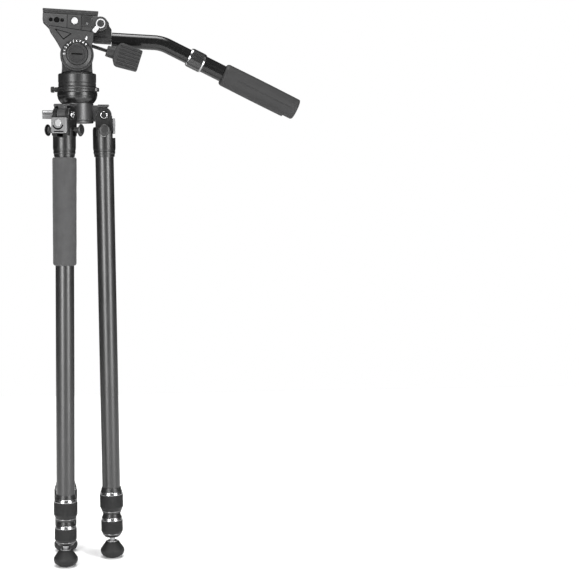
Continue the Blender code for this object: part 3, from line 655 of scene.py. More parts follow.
def smile(low_angle, high_angle, radius, half_width, count=20):
    """A curved slot's outline about the tab screw, its ends round."""
    outline = arc((0, 0), radius + half_width, low_angle, high_angle, count)
    end = math.radians(high_angle)
    outline += arc(
        (radius * math.cos(end), radius * math.sin(end)), half_width, high_angle, high_angle + 180, 6
    )[1:-1]
    outline += arc((0, 0), radius - half_width, high_angle, low_angle, count)
    start = math.radians(low_angle)
    outline += arc(
        (radius * math.cos(start), radius * math.sin(start)), half_width, low_angle + 180,
        low_angle + 360, 6
    )[1:-1]
    return outline


TAB_SCREW = mm(-1.5, -14.0)  # across the tab and down the leg from the pin
ACROSS = Matrix.Rotation(math.radians(90), 4, "Z")  # an outline's x runs along Y, its depth along -X


def build_tab(name, at):
    made = slab(
        name, path_mm((-14, -30.2, 4), (14, -30.2, 4), (14, -5.3, 3), (-14, -5.3, 3)), -18 * MM, -14 * MM,
        at, ACROSS, 0.6 * MM, 1 * MM, 3
    )
    web = brick("web", mm(-2.6, -5, -30.4), mm(15, 5, -22.6), at, 0.3 * MM)
    fuse(made, web)
    shift = at @ Matrix.Translation((0, TAB_SCREW[0], TAB_SCREW[1]))
    seat = rod("seat", 6.4 * MM, 17.2 * MM, 20 * MM, shift, TO_RIGHT, 64)
    notch = slab("notch", smile(205, 335, 9.6 * MM, 1.4 * MM), -20 * MM, -16.0 * MM, shift, ACROSS, 0)
    groove = brick("groove", mm(16.9, -9, -28.6), mm(20, 9, -26.6), at, 0)
    hole = rod("hole", 1.9 * MM, -8 * MM, 8 * MM, at @ Matrix.Translation(mm(0, 0, -26.5)), TO_FRONT, 32)
    cut(made, seat, notch, groove, hole)
    return made


def build_tab_marks(name, at):
    """Painted shade: dark sheets on the floors of the tab's curved notch and of its groove, where there is
    only shadow.
    """
    shift = at @ Matrix.Translation((0, TAB_SCREW[0], TAB_SCREW[1]))
    notch = slab(name, smile(206, 334, 9.6 * MM, 1.35 * MM), -17.4 * MM, -16.05 * MM, shift, ACROSS, 0)
    groove = brick("groove", mm(17.0, -8.95, -28.55), mm(17.6, 8.95, -26.65), at, 0)
    made = merged(notch, groove)
    made.data.transform(at.inverted() @ made.matrix_world)
    made.matrix_world = at
    return made


def build_tab_screw(name, at):
    shift = Matrix.Translation((0, TAB_SCREW[0], TAB_SCREW[1]))
    made = lathe(
        name, path_mm((0, 18.6), (5.2, 18.6, 0.4), (5.9, 18.0, 0.4), (5.9, 17.25), (0, 17.25)), at,
        shift @ TO_RIGHT, 64
    )
    cut(made, socket_key("key", 2.2 * MM, 17.7 * MM, 22 * MM, at, shift @ TO_RIGHT))
    round_off(made, 0.12 * MM, 1)
    return made


def build_release(name, at):
    face, disc, neck = mm(33.0, 9.2, 4.2)
    half = [
        (0, face), (5.2 * MM, face, 1 * MM), (7.6 * MM, face - 0.5 * MM, 1 * MM),
        (disc, face - 1.8 * MM, 0.8 * MM), (disc, face - 2.9 * MM, 0.5 * MM),
        (neck + 1.4 * MM, face - 3.6 * MM, 0.8 * MM), (neck, 27.6 * MM, 0.8 * MM), (neck, 19.2 * MM),
        mm(1.6, 19.2)
    ]
    profile = half + [(p[0], -p[1], *p[2:]) for p in reversed(half)]
    return lathe(name, profile, at, Matrix.Translation(mm(0, 0, -24.5)) @ TO_FRONT, 64, 0.3 * MM)


def build_tube(outer, inner, low, high):
    def build(name, at):
        return lathe(
            name, [(outer, high), (outer, low), (inner, low), (inner, high)], at, steps=96, soft=0.25 * MM
        )

    return build


def make_lock(number, kind, at):
    """A twist lock: a satin cone, a bright ring, a ribbed grip, a bright line and a dark tail."""
    top, bottom, radius, over, under = LOCKS[kind]
    body = f"leg_{number}_{kind}_lock"
    wide = kind == "upper"
    band = top - (6.6 * MM if wide else 5.8 * MM)
    grip_top = band - 5.6 * MM
    line_top = bottom + (3.4 * MM if wide else 6.2 * MM)
    line_radius = radius - (3.0 * MM if wide else 1.9 * MM)
    taper = bottom + (9.0 * MM if wide else 9.2 * MM)
    step = bottom + (1.9 * MM if wide else 4.4 * MM)

    def cone(name, at):
        wall = radius - 1.9 * MM

        def slope(share):
            return over + 0.4 * MM + (wall - over - 0.4 * MM) * share

        height = top - band
        profile = [(over, top), (slope(0), top)]
        for share in (0.30, 0.62):
            profile += [
                (slope(share), top - height * share, 0.0),
                (slope(share) - 0.7 * MM, top - height * share, 0.0)
            ]
            share += 0.08
            profile += [
                (slope(share) - 0.7 * MM, top - height * share, 0.0),
                (slope(share), top - height * share, 0.0)
            ]
        profile += [(wall, band + 0.4 * MM), (wall - 0.2 * MM, band), (over, band)]
        return lathe(name, profile, at, soft=0.25 * MM)

    def ring(name, at):
        return lathe(
            name,
            [
                (over, band - 0.05 * MM), (radius - 1.9 * MM, band - 0.05 * MM),
                (radius - 1.3 * MM, band - 0.6 * MM), (radius - 0.2 * MM, grip_top + 0.8 * MM),
                (radius - 0.5 * MM, grip_top + 0.1 * MM), (over, grip_top + 0.1 * MM)
            ],
            at, soft=0.3 * MM
        )

    def grip(name, at):
        profile = [(over, grip_top, 0.0), (radius - 0.5 * MM, grip_top, 0.0)]
        profile += ribs(taper, grip_top - 0.4 * MM, radius, 1.9 * MM, 0.5 * MM)
        profile += [
            (line_radius + 0.3 * MM, line_top + 0.4 * MM, 0.0), (line_radius, line_top, 0.0),
            (over, line_top, 0.0)
        ]
        flutes = knurl(60, 0.25 * MM, taper, grip_top - 0.2 * MM, radius - 0.7 * MM)
        return lathe(name, profile, at, steps=240, soft=0, shape=flutes)

    def line(name, at):
        return lathe(
            name,
            [
                (over, line_top - 0.05 * MM), (line_radius, line_top - 0.05 * MM),
                (line_radius + 0.1 * MM, line_top - 0.6 * MM),
                (line_radius - 0.3 * MM, line_top - 1.4 * MM), (over, line_top - 1.4 * MM)
            ],
            at, soft=0.2 * MM
        )

    def tail(name, at):
        start = line_top - 1.45 * MM
        if wide:
            curve = [
                (line_radius - 0.5 * MM, start), (radius - 3.4 * MM, bottom + 0.5 * MM),
                (radius - 3.8 * MM, bottom)
            ]
        else:
            curve = [
                (line_radius - 0.5 * MM, start), (line_radius - 0.9 * MM, bottom + 3.4 * MM, 1.2 * MM),
                (13.4 * MM, bottom + 1.5 * MM, 1.0 * MM), (under + 0.6 * MM, bottom)
            ]
        return lathe(
            name,
            [
                (over - 0.01 * MM, start), *curve, (under, bottom), (under, step - 0.1 * MM),
                (over - 0.01 * MM, step - 0.1 * MM)
            ],
            at, soft=0.3 * MM
        )

    parts = (
        ("grip", grip, "lock_rubber", None, (body,)), ("cone", cone, "gloss_black", "cone_black", ()),
        ("ring", ring, "chrome", "ring_chrome", ()), ("line", line, "chrome", "line_chrome", ()),
        ("tail", tail, "gloss_black", "cone_black", ())
    )
    for part, build, slot, look, nodes in parts:
        made = repeated((kind, part), f"{body}_{part}", at, build)
        piece(made, body, slot, *nodes, look=LOOKS.get(look))


def build_stem(name, at):
    """The foot's spindle: a plug in the lower tube, then a bright cone that narrows into the foot."""
    end = -699.5 * MM
    plug = 9.8 * MM
    floor = -FLOOR_REACH
    return lathe(
        name,
        [
            (0, end + 14 * MM), (plug, end + 14 * MM), (plug, end - 0.3 * MM), (5.4 * MM, end - 0.3 * MM),
            (5.3 * MM, end - 1.6 * MM, 0.5 * MM), (3.9 * MM, floor + 28.5 * MM, 2 * MM),
            (3.6 * MM, floor + 24.4 * MM, 1 * MM), (3.8 * MM, floor + 12 * MM), (0, floor + 12 * MM)
        ],
        at, steps=72
    )


def foot_flutes(angle, radius, height):
    """Shallow scallops round the foot's skirt."""
    if radius < 12.5 * MM:
        return radius
    return radius - 0.22 * MM * (0.5 + 0.5 * math.cos(18 * angle))


def build_foot(name, at):
    """The rubber foot: a sloped shoulder, a rounded skirt and a domed sole with one groove."""
    profile = path_mm(
        (0, 11.5), (4.2, 11.5), (4.2, 23.4), (9.0, 23.4, 0.2), (9.0, 27.2, 0.2), (10.4, 27.2, 0.6),
        (11.2, 26.2, 0.8), (19.7, 14.0, 1.2), (20, 10.8, 1.5), (18.4, 5, 3), (13, 1.6, 1.5),
        (11.2, 0.9, 0.3), (11.0, 1.7, 0.2), (9.8, 1.7, 0.2), (9.6, 0.5, 0.3), (6, 0.2, 1), (0, 0)
    )
    points = [(radius, height - FLOOR_REACH, *eased) for radius, height, *eased in profile]
    return lathe(name, points, at, steps=144, soft=0.4 * MM, shape=foot_flutes)


def build_foot_ring(name, at):
    floor = -FLOOR_REACH
    return lathe(
        name,
        [
            (7.3 * MM, floor + 25.0 * MM), (7.3 * MM, floor + 27.7 * MM), (7.8 * MM, floor + 28.2 * MM),
            (8.6 * MM, floor + 28.2 * MM), (8.95 * MM, floor + 27.8 * MM), (8.95 * MM, floor + 25.0 * MM)
        ],
        at, steps=72, soft=0.25 * MM
    )


def build_foam(name, at):
    """Soft, faintly lumpy sleeve, pinched at its ends."""
    top, bottom, outer, inner = mm(-68.4, -242.0, 19.5, 15.3)
    rows = 64
    profile = [
        (inner, top - 0.4 * MM, 0.0), (inner + 1.4 * MM, top, 0.0),
        (outer - 1.6 * MM, top - 0.3 * MM, 0.0), (outer - 0.6 * MM, top - 1.3 * MM, 0.0)
    ]
    for row in range(rows + 1):
        share = row / rows
        height = top - 3.0 * MM + (bottom - top + 6.0 * MM) * share
        profile.append((outer - 0.6 * MM * share, height, 0.0))
    profile += [
        (outer - 1.3 * MM, bottom + 1.3 * MM, 0.0), (outer - 2.2 * MM, bottom + 0.3 * MM, 0.0),
        (inner + 1.4 * MM, bottom, 0.0), (inner, bottom + 0.4 * MM, 0.0)
    ]

    def shape(angle, radius, height):
        if radius < inner + 1.5 * MM:
            return radius
        spot = Vector((math.cos(angle) * 1.3, math.sin(angle) * 1.3, height / (14 * MM)))
        return radius + 0.18 * MM * noise.noise(spot) + 0.07 * MM * noise.noise(spot * 4)

    return lathe(name, profile, at, steps=96, soft=0, shape=shape)


def make_leg(number):
    at = leg_frame(number)
    body = f"leg_{number}"
    catch = f"{body}_catch"

    def put(key, name, build, rides_on, slot, *nodes, look=None):
        piece(repeated(key, f"{body}_{name}", at, build), rides_on, slot, *nodes, look=look)

    put(
        "bracket", "socket_casting", build_bracket, body, "black_metal", f"{body}_bracket",
        look=LOOKS["bracket"]
    )
    put("bolt", "hinge_screw", build_bolt, body, "chrome", f"{body}_hinge_bolt")
    put("rings", "hinge_rings", build_bolt_rings, body, "gloss_black")
    put("tab", "angle_tab", build_tab, catch, "lock_metal", f"{body}_angle_lock")
    put("tab_screw", "angle_tab_screw", build_tab_screw, catch, "chrome", look=LOOKS["bright_steel"])
    # painted shade sheets in each tab's notch and groove
    put("tab_notch_shade", "angle_tab_notches", build_tab_marks, catch, "lock_metal", look=SHADE_AND_MARK_BLACK)
    put(
        "release", "release_knobs", build_release, catch, "lock_rubber", f"{body}_release_pin",
        look=LOOKS["black_metal"]
    )
    tubes = (
        ("upper", 15.0, 13.8, -655.3, -40.0, body),
        ("middle", 13.4, 12.2, -696.5, -48.0, f"{body}_middle"),
        ("lower", 11.3, 10.1, -699.5, -60.0, f"{body}_lower")
    )
    for name, outer, inner, low, high, rides_on in tubes:
        put(
            name, f"{name}_section", build_tube(outer * MM, inner * MM, low * MM, high * MM), rides_on,
            "tube_black", f"{body}_{name}_tube"
        )
    make_lock(number, "upper", at)
    make_lock(number, "lower", at)
    put(
        "stem", "foot_spindle", build_stem, f"{body}_lower", "chrome", f"{body}_foot_stem",
        look=LOOKS["bright_steel"]
    )
    put("foot", "rubber_foot", build_foot, f"{body}_foot", "foot_rubber", f"{body}_foot")
    put("foot_ring", "foot_ring", build_foot_ring, f"{body}_foot", "chrome", look=LOOKS["bright_steel"])
    if number == GRIP_LEG:
        foam = piece(build_foam(f"{body}_foam_sleeve", at), body, "foam", f"{body}_foam_grip")


# --- head: pan ------------------------------------------------------------------

PAN_TOP = 782.6 * MM
PAN_LOCK_HEIGHT = 778.0 * MM
TILT_HEIGHT = 833.5 * MM
LEVEL_AT = HUB @ Matrix.Rotation(math.radians(-14), 4, "Z")


def make_pan_base():
    base = lathe(
        "pan_base_ring",
        [
            (0, PAN_TOP + 14 * MM), (9.6 * MM, PAN_TOP + 14 * MM), (10 * MM, PAN_TOP + 13.6 * MM),
            (10 * MM, PAN_TOP), (31.2 * MM, PAN_TOP), (32 * MM, PAN_TOP - 0.8 * MM), mm(32, 779.4),
            mm(31.4, 778.9), mm(31.4, 778.3), mm(32, 777.8), mm(32, 774.3), mm(4.9, 774.3), mm(4.9, 777),
            (0, 777 * MM)
        ],
        HUB, steps=144, soft=0.3 * MM
    )
    at = on_axis(PAN_LOCK_HEIGHT)
    boss = lathe("boss", path_mm((0, 36.6), (3.6, 36.6), (4, 36.2), (4, 24), (0, 24)), at, TO_LEFT, 48)
    hole = rod("hole", 2.3 * MM, 22 * MM, 40 * MM, at, TO_LEFT, 32)
    seat = brick("seat", mm(28.2, -6.8, 774.0), mm(50, 6.8, 781.4), LEVEL_AT, 0)
    fuse(base, boss)
    cut(base, hole, seat)
    piece(base, "tripod_hub", "black_metal", "pan_base", look=LOOKS["drum"])


def make_pan_knob():
    at = on_axis(PAN_LOCK_HEIGHT)
    near, far = mm(36.9, 43.1)
    knob = lathe(
        "pan_lock_cap",
        [
            (0, far), (3.4 * MM, far), (5 * MM, far - 1.4 * MM), (5 * MM, near + 0.6 * MM),
            (4.4 * MM, near), (2 * MM, near), (2 * MM, near - 12 * MM), (0, near - 12 * MM)
        ],
        at, TO_LEFT, 144, 0.3 * MM, knurl(18, 0.45 * MM, near + 0.5 * MM, far - 1.2 * MM, 4.6 * MM)
    )
    piece(knob, "pan_lock_knob", "black_metal", "pan_lock_knob")


def make_level():
    """The bubble level: a rounded black housing with a clear vial across its face."""
    outer = 35.2 * MM
    housing = brick(
        "level_housing", mm(28.5, -6.4, 774.8), (outer, 6.4 * MM, 781.0 * MM), LEVEL_AT, 0.9 * MM, 3
    )
    window = brick(
        "window", (outer - 1.1 * MM, -4.6 * MM, 776.2 * MM), (outer + 3 * MM, 4.6 * MM, 779.6 * MM),
        LEVEL_AT, 0.5 * MM
    )
    cut(housing, window)
    piece(housing, "tripod_hub", "gloss_black", "bubble_level")
    at = LEVEL_AT @ Matrix.Translation((outer - 1.75 * MM, 0, 777.9 * MM))
    vial = lathe(
        "level_vial",
        path_mm((0, 4.5), (1.4, 4.4, 0.5), (1.55, 3.9), (1.55, -3.9), (1.4, -4.4, 0.5), (0, -4.5)), at,
        TO_FRONT, 48, 0.3 * MM
    )
    piece(vial, "tripod_hub", "gloss_black", look=WINDOW)
    rings = []
    for side in (-1.1, 1.1):
        rings.append(
            lathe(
                "level_marks", path_mm((1.56, 0.12), (1.66, 0.12), (1.66, -0.12), (1.56, -0.12)), at,
                Matrix.Translation((0, side * MM, 0)) @ TO_FRONT, 32, 0
            )
        )
    piece(merged(rings[0], rings[1]), "tripod_hub", "gloss_black", look=SHADE_AND_MARK_BLACK)


def make_drum():
    low = 783.1 * MM
    radius = 30.8 * MM
    drum = lathe(
        "pan_drum_shell",
        [
            (0, 804 * MM), mm(24, 804), mm(29.6, 803.8, 0.8), (radius, 802.6 * MM, 0.8 * MM),
            (radius, 789.6 * MM, 0.2 * MM), mm(29.9, 789.2, 0.1), mm(29.9, 788.6, 0.1),
            mm(30.6, 788.2, 0.2), (30.6 * MM, low + 0.5 * MM), (30.2 * MM, low), (10.4 * MM, low),
            (10.4 * MM, low + 14.4 * MM), (0, low + 14.4 * MM)
        ],
        HUB, steps=160, soft=0.3 * MM
    )
    piece(drum, "pan_platform", "black_metal", "pan_drum", look=LOOKS["drum"])


def make_yoke():
    foot = 804.3 * MM
    outline = [
        (-25 * MM, foot + 1 * MM, 0.0), (25 * MM, foot + 1 * MM, 0.0), (24.4 * MM, foot + 8 * MM, 2 * MM)
    ]
    outline += arc((0, TILT_HEIGHT), 27 * MM, -25, 205, 60)
    outline += [(-24.4 * MM, foot + 8 * MM, 2 * MM)]
    yoke = slab("tilt_yoke_block", outline, -15 * MM, 15 * MM, HUB, edge=0.8 * MM, segments=3)
    collar = lathe(
        "collar",
        [
            (0, foot + 2.6 * MM), (24.4 * MM, foot + 2.6 * MM), (25.6 * MM, foot + 1.0 * MM),
            (25.6 * MM, foot), (0, foot)
        ],
        HUB, steps=144
    )
    at = on_axis(TILT_HEIGHT)
    tools = [
        rod("bore", 8.4 * MM, -17 * MM, 17 * MM, at, TO_FRONT, 64),
        rod("front", 17.4 * MM, 6 * MM, 30 * MM, at, TO_FRONT, 64),
        rod("back", 17.2 * MM, 6.1 * MM, 30 * MM, at, TO_BACK, 64)
    ]
    fuse(yoke, collar)
    cut(yoke, *tools)
    piece(yoke, "pan_platform", "black_metal", "tilt_yoke")
    cartridge = lathe(
        "drag_cartridge", path_mm((17, 14.8), (17, 6.4), (8.5, 6.4), (8.5, 14.8)), at, TO_FRONT, 96
    )
    piece(cartridge, "pan_platform", "steel", "tilt_drag_cartridge")
    spring = lathe("spring_housing", path_mm((16, 14.8), (16, 6.4), (10, 6.4), (10, 14.8)), at, TO_BACK, 96)
    piece(spring, "pan_platform", "steel", "counterbalance_spring")


# --- head: tilting platform, in the tilt frame --------------------------------------

HALF = 24.0 * MM
ROSETTE = mm(35.5, 50.7)
BUTTON = mm(-6.0, 52.7)


def facing(x, z, at=None):
    """A frame at (x, z) of the tilting platform's side, for shapes turned TO_FRONT."""
    return (at or TILT) @ Matrix.Translation((x, 0, z))


def disc_tool(x, z, radius, low, high, turn=TO_FRONT, at=None, steps=64):
    return rod("tool", radius, low, high, facing(x, z, at), turn, steps)


def groove_tool(start, end, width, depth, side=-1, sunk=-3.0 * MM):
    """A thin straight bar along a line of the side face, from depth up to sunk below the surface."""
    a, b = Vector(start), Vector(end)
    way = b - a
    angle = math.atan2(way.y, way.x)
    at = TILT @ Matrix.Translation((a.x, 0, a.y)) @ Matrix.Rotation(-angle, 4, "Y")
    low, high = (-HALF + sunk, -HALF + depth) if side < 0 else (HALF - depth, HALF - sunk)
    return brick("groove", (0, low, -width / 2), (way.length, high, width / 2), at, 0)


def triangle(name, inset, low, high):
    """The cradle's three-cornered recess, or a plate inset from its edges, between two depths."""
    corners = [Vector(corner) for corner in path_mm((-37.6, 38.4), (-9.1, 32.4), (-22.7, 21.6))]
    middle = sum(corners, Vector((0.0, 0.0))) / 3
    near = 5.2 * MM  # the least distance from the middle to an edge
    shrunk = [middle + (corner - middle) * (1 - inset / near) for corner in corners]
    outline = [(*corner, 1.3 * MM) for corner in shrunk]
    return slab(name, outline, min(low, high), max(low, high), TILT, edge=0, soft=1 * MM)


GROOVES = (
    path_mm((-46.6, 43.2), (22.4, 37.3)), path_mm((-17.9, 41.2), (-17.9, 62.6)),
    path_mm((4.8, 39.4), (4.8, 62.6))
)
HOLES = ((-44.1, 3.0), (-34.5, 4.4), (-25.8, 2.8))
HOLE_HEIGHT = 52.6 * MM


def make_cradle():
    outline = path_mm(
        (-57.2, 62.7, 1), (-57.2, 50.7, 2), (-46.6, 41.2, 1.5), (-45.2, 36.5, 3), (-34.2, 21.8, 5)
    )
    outline += arc((0, 0), 26.6 * MM, 163, 390, 72)
    outline += path_mm((24.2, 21.5, 1.5), (25.4, 38, 3), (30.6, 46, 2), (30.6, 62.7, 1))
    cradle = slab("tilt_cradle_body", outline, -HALF, HALF, TILT, edge=1.0 * MM, soft=0.5 * MM, segments=3)
    ear = lathe(
        "ear", path_mm((0, 23.9), (10.8, 23.9), (11.6, 23.1), (11.6, 3), (0, 3)), facing(*ROSETTE),
        TO_FRONT, 72
    )
    fuse(cradle, ear)
    tools = [
        brick("gap", mm(-70, -15.4, -40), mm(70, 15.4, 40), TILT, 0),
        disc_tool(0, 0, 8.4 * MM, -30 * MM, 30 * MM),
        brick("mount_gap", mm(22.4, -2.7, -40), mm(70, 34, 80), TILT, 0),
        disc_tool(*ROSETTE, 3.8 * MM, -1 * MM, 30 * MM),
        brick("channel", mm(-70, -19, 57), mm(70, 19, 80), TILT, 0),
        brick("jaw_seat", mm(6, -25, 44), mm(22, -18.8, 80), TILT, 0),
        disc_tool(*BUTTON, 5.9 * MM, HALF - 9 * MM, 40 * MM)
    ]
    shaft = rod("shaft", 3.1 * MM, -7 * MM, 20 * MM, KNOB)
    cut(cradle, *tools, shaft)
    details = []
    for x, radius in HOLES:
        details.append(disc_tool(x * MM, HOLE_HEIGHT, radius * MM, HALF - 6 * MM, 40 * MM))
        details.append(
            lathe(
                "rim",
                [
                    (0, 30 * MM), (radius * MM + 6.6 * MM, 30 * MM, 0.0),
                    (radius * MM, HALF - 0.6 * MM, 0.0), (0, HALF - 0.6 * MM)
                ],
                facing(x * MM, HOLE_HEIGHT), TO_FRONT, 64, 0
            )
        )
    details.append(
        lathe(
            "button_rim",
            [
                (0, HALF + 3 * MM), (9.4 * MM, HALF + 3 * MM), (6.2 * MM, HALF - 0.7 * MM),
                (0, HALF - 0.7 * MM)
            ],
            facing(*BUTTON), TO_FRONT, 64, 0
        )
    )
    # Painted shade: near-black sheets sunk just below the surface in the grooves, the triangular recess and
    # the three holes, where there is only shadow.
    painted_shade_sheets = []
    for side in (-1, 1):
        for start, end in GROOVES:
            details.append(groove_tool(start, end, 0.9 * MM, 1.0 * MM, side))
            painted_shade_sheets.append(groove_tool(start, end, 0.88 * MM, 0.95 * MM, side, 0.2 * MM))
        surface = side * HALF
        details.append(triangle("recess", 0.0, surface - 1.6 * MM, surface + 1.6 * MM))
        painted_shade_sheets.append(
            triangle("recess_painted_shade", 0.05 * MM, surface - side * 1.55 * MM, surface - side * 0.7 * MM)
        )
        island = triangle("cradle_panel", 1.2 * MM, surface - side * 0.8 * MM, surface - side * 0.15 * MM)
        round_off(island, 0.2 * MM, 2)
        piece(island, "tilt_platform", "black_metal", look=LOOKS["cradle"])
    for x, radius in HOLES:
        painted_shade_sheets.append(
            disc_tool(x * MM, HOLE_HEIGHT, radius * MM - 0.05 * MM, HALF - 5.9 * MM, HALF - 2.0 * MM)
        )
    cut(cradle, *details)
    piece(merged(*painted_shade_sheets), "tilt_platform", "black_metal", look=SHADE_AND_MARK_BLACK)
    piece(cradle, "tilt_platform", "black_metal", "tilt_cradle", look=LOOKS["cradle"])


def make_axle():
    axle = lathe(
        "tilt_axle_cap",
        path_mm(
            (0, 23), (8, 23), (8, -24.3), (15, -24.3), (15, -26.2), (14, -27.2), (10.6, -27.2),
            (10.2, -26.4), (0, -26.4)
        ),
        TILT, TO_FRONT
    )
    cut(axle, socket_key("key", 4.6 * MM, -40 * MM, -24.6 * MM, TILT, TO_FRONT))
    piece(axle, "tilt_platform", "black_metal", "tilt_axle")


def make_index():
    """The white teardrop beside the drag dial, its point towards the axis."""
    count = 36
    outline = []
    for index in range(count):
        t = math.tau * index / count
        outline.append((2.3 * MM * math.sin(t) * math.sin(t / 2) ** 3, -3.8 * MM * math.cos(t)))
    outline = [point for index, point in enumerate(outline) if index]
    turn = Matrix.Translation(mm(14.2, 0, 27.4)) @ Matrix.Rotation(math.radians(14), 4, "Y")
    mark = slab(
        "drag_index", outline, -HALF - 0.35 * MM, -HALF + 0.3 * MM, TILT,
        turn @ Matrix.Rotation(math.pi, 4, "Y"), edge=0.12 * MM, segments=1
    )
    piece(mark, "tilt_platform", "white_plastic", look=INK)


DIAL_FRONT = 30.4 * MM
DIAL_SLOPE = mm(18.2, 30.2, 23.0, 28.0)  # the sloping rim: radius and height, in then out


def make_dial():
    """The drag dial: a knurled black body with a sloping rim, a grey face, a ring groove and a coin slot."""
    back, front, radius = 24.4 * MM, DIAL_FRONT, 23.8 * MM
    cap = 17.4 * MM
    inner, upper, outer, lower = DIAL_SLOPE
    dial = lathe(
        "drag_dial_body",
        [
            (0, upper - 2.6 * MM), (cap + 0.3 * MM, upper - 2.6 * MM), (cap + 0.3 * MM, upper, 0.1 * MM),
            (inner, upper, 0.2 * MM), (outer, lower, 0.4 * MM), (radius, lower - 0.9 * MM, 0.4 * MM),
            (radius, back + 1.0 * MM, 0.3 * MM), (radius - 0.8 * MM, back), (0, back)
        ],
        TILT, TO_FRONT, 240, 0.3 * MM,
        knurl(72, 0.30 * MM, back + 0.6 * MM, lower - 0.8 * MM, radius - 0.3 * MM)
    )
    piece(dial, "drag_dial", "black_metal", "drag_dial", look=LOOKS["dial"])
    cover = lathe(
        "dial_cap_disc",
        [
            (0, front + 0.6 * MM), (11.6 * MM, front + 0.6 * MM, 0.2 * MM),
            (11.9 * MM, front - 0.1 * MM, 0.1 * MM), (12.9 * MM, front - 0.1 * MM, 0.1 * MM),
            (13.2 * MM, front + 0.6 * MM, 0.2 * MM), (16.0 * MM, front + 0.6 * MM, 0.6 * MM),
            (cap - 0.2 * MM, front - 0.6 * MM, 0.4 * MM), (cap - 0.2 * MM, upper - 2.4 * MM),
            (0, upper - 2.4 * MM)
        ],
        TILT, TO_FRONT, 144
    )
    slot = slab(
        "slot", path_mm((-9.0, -1.3, 1.2), (9.0, -1.3, 1.2), (9.0, 1.3, 1.2), (-9.0, 1.3, 1.2)),
        -front - 3 * MM, -front + 0.6 * MM, TILT, edge=0, soft=1 * MM
    )
    cut(cover, slot)
    round_off(cover, 0.15 * MM, 1, 50)
    piece(cover, "drag_dial", "black_metal", "dial_cap", look=LOOKS["dial_face"])
    # Painted shade: a near-black sheet on the floor of the coin slot, where there is only shadow.
    dark = brick(
        "dial_slot_painted_shade", (-8.8 * MM, -front - 0.05 * MM, -1.2 * MM),
        (8.8 * MM, -front + 0.55 * MM, 1.2 * MM), TILT, 0
    )
    piece(dark, "drag_dial", "black_metal", look=SHADE_AND_MARK_BLACK)


def text_mesh(label, size, thickness):
    curve = bpy.data.curves.new("figure", "FONT")
    curve.body = label
    curve.size = size
    curve.align_x = "CENTER"
    curve.align_y = "CENTER"
    curve.extrude = thickness
    holder = bpy.data.objects.new("figure", curve)
    bpy.context.scene.collection.objects.link(holder)
    bpy.context.view_layer.update()
    mesh = bpy.data.meshes.new_from_object(holder.evaluated_get(bpy.context.evaluated_depsgraph_get()))
    bpy.data.objects.remove(holder)
    bpy.data.curves.remove(curve)
    return mesh


def make_dial_marks():
    """Figures 0 to 9 round the upper half of the drag dial's sloping rim."""
    cage = bmesh.new()
    first, last, count = 182.0, 50.0, 10
    inner, upper, outer, lower = DIAL_SLOPE
    lean = Matrix.Rotation(math.atan2(lower - upper, outer - inner), 4, "X")
    middle = (inner + outer) / 2
    height = (upper + lower) / 2 + 0.04 * MM
    for index in range(count):
        angle = math.radians(first + (last - first) * index / (count - 1))
        spin = Matrix.Rotation(angle - math.pi / 2, 4, "Z")
        mesh = text_mesh(str(index), 4.7 * MM, 0.12 * MM)
        mesh.transform(spin @ Matrix.Translation((0, middle, height)) @ lean)
        cage.from_mesh(mesh)
        bpy.data.meshes.remove(mesh)
    bmesh.ops.remove_doubles(cage, verts=cage.verts, dist=0.001 * MM)
    piece(from_cage("dial_figures", cage, TILT, TO_FRONT), "drag_dial", "white_plastic", look=INK)


def make_button_and_jaw():
    button = lathe(
        "plate_release_button",
        path_mm((0, 26.6), (3.0, 26.5, 1), (4.9, 25.9, 1), (5.5, 24.8, 0.6), (5.5, 18.5), (0, 18.5)),
        facing(*BUTTON), TO_FRONT
    )
    piece(button, "plate_button", "white_plastic", "plate_button")
    screw_at = mm(14, 49.6)
    jaw = brick("plate_clamp_jaw", mm(6.4, -24, 44.4), mm(21.6, -19.1, 62.4), TILT, 0.8 * MM, 3)
    tools = [
        brick("rib", (8.4 * MM, -26 * MM, z * MM), (19.6 * MM, -23.5 * MM, (z + 0.7) * MM), TILT, 0)
        for z in (55.4, 57.2, 59.0)
    ]
    tools.append(disc_tool(*screw_at, 2.2 * MM, 22.6 * MM, 30 * MM))
    cut(jaw, *tools)
    piece(jaw, "clamp_jaw", "black_metal", "clamp_jaw")
    screw = lathe(
        "clamp_jaw_screw", path_mm((0, 23.7), (1.5, 23.7), (2.0, 23.3), (2.0, 22.65), (0, 22.65)),
        facing(*screw_at), TO_FRONT, 48, 0.2 * MM
    )
    cut(screw, socket_key("key", 1.0 * MM, 23.0 * MM, 26 * MM, facing(*screw_at), TO_FRONT))
    piece(screw, "clamp_jaw", "steel")


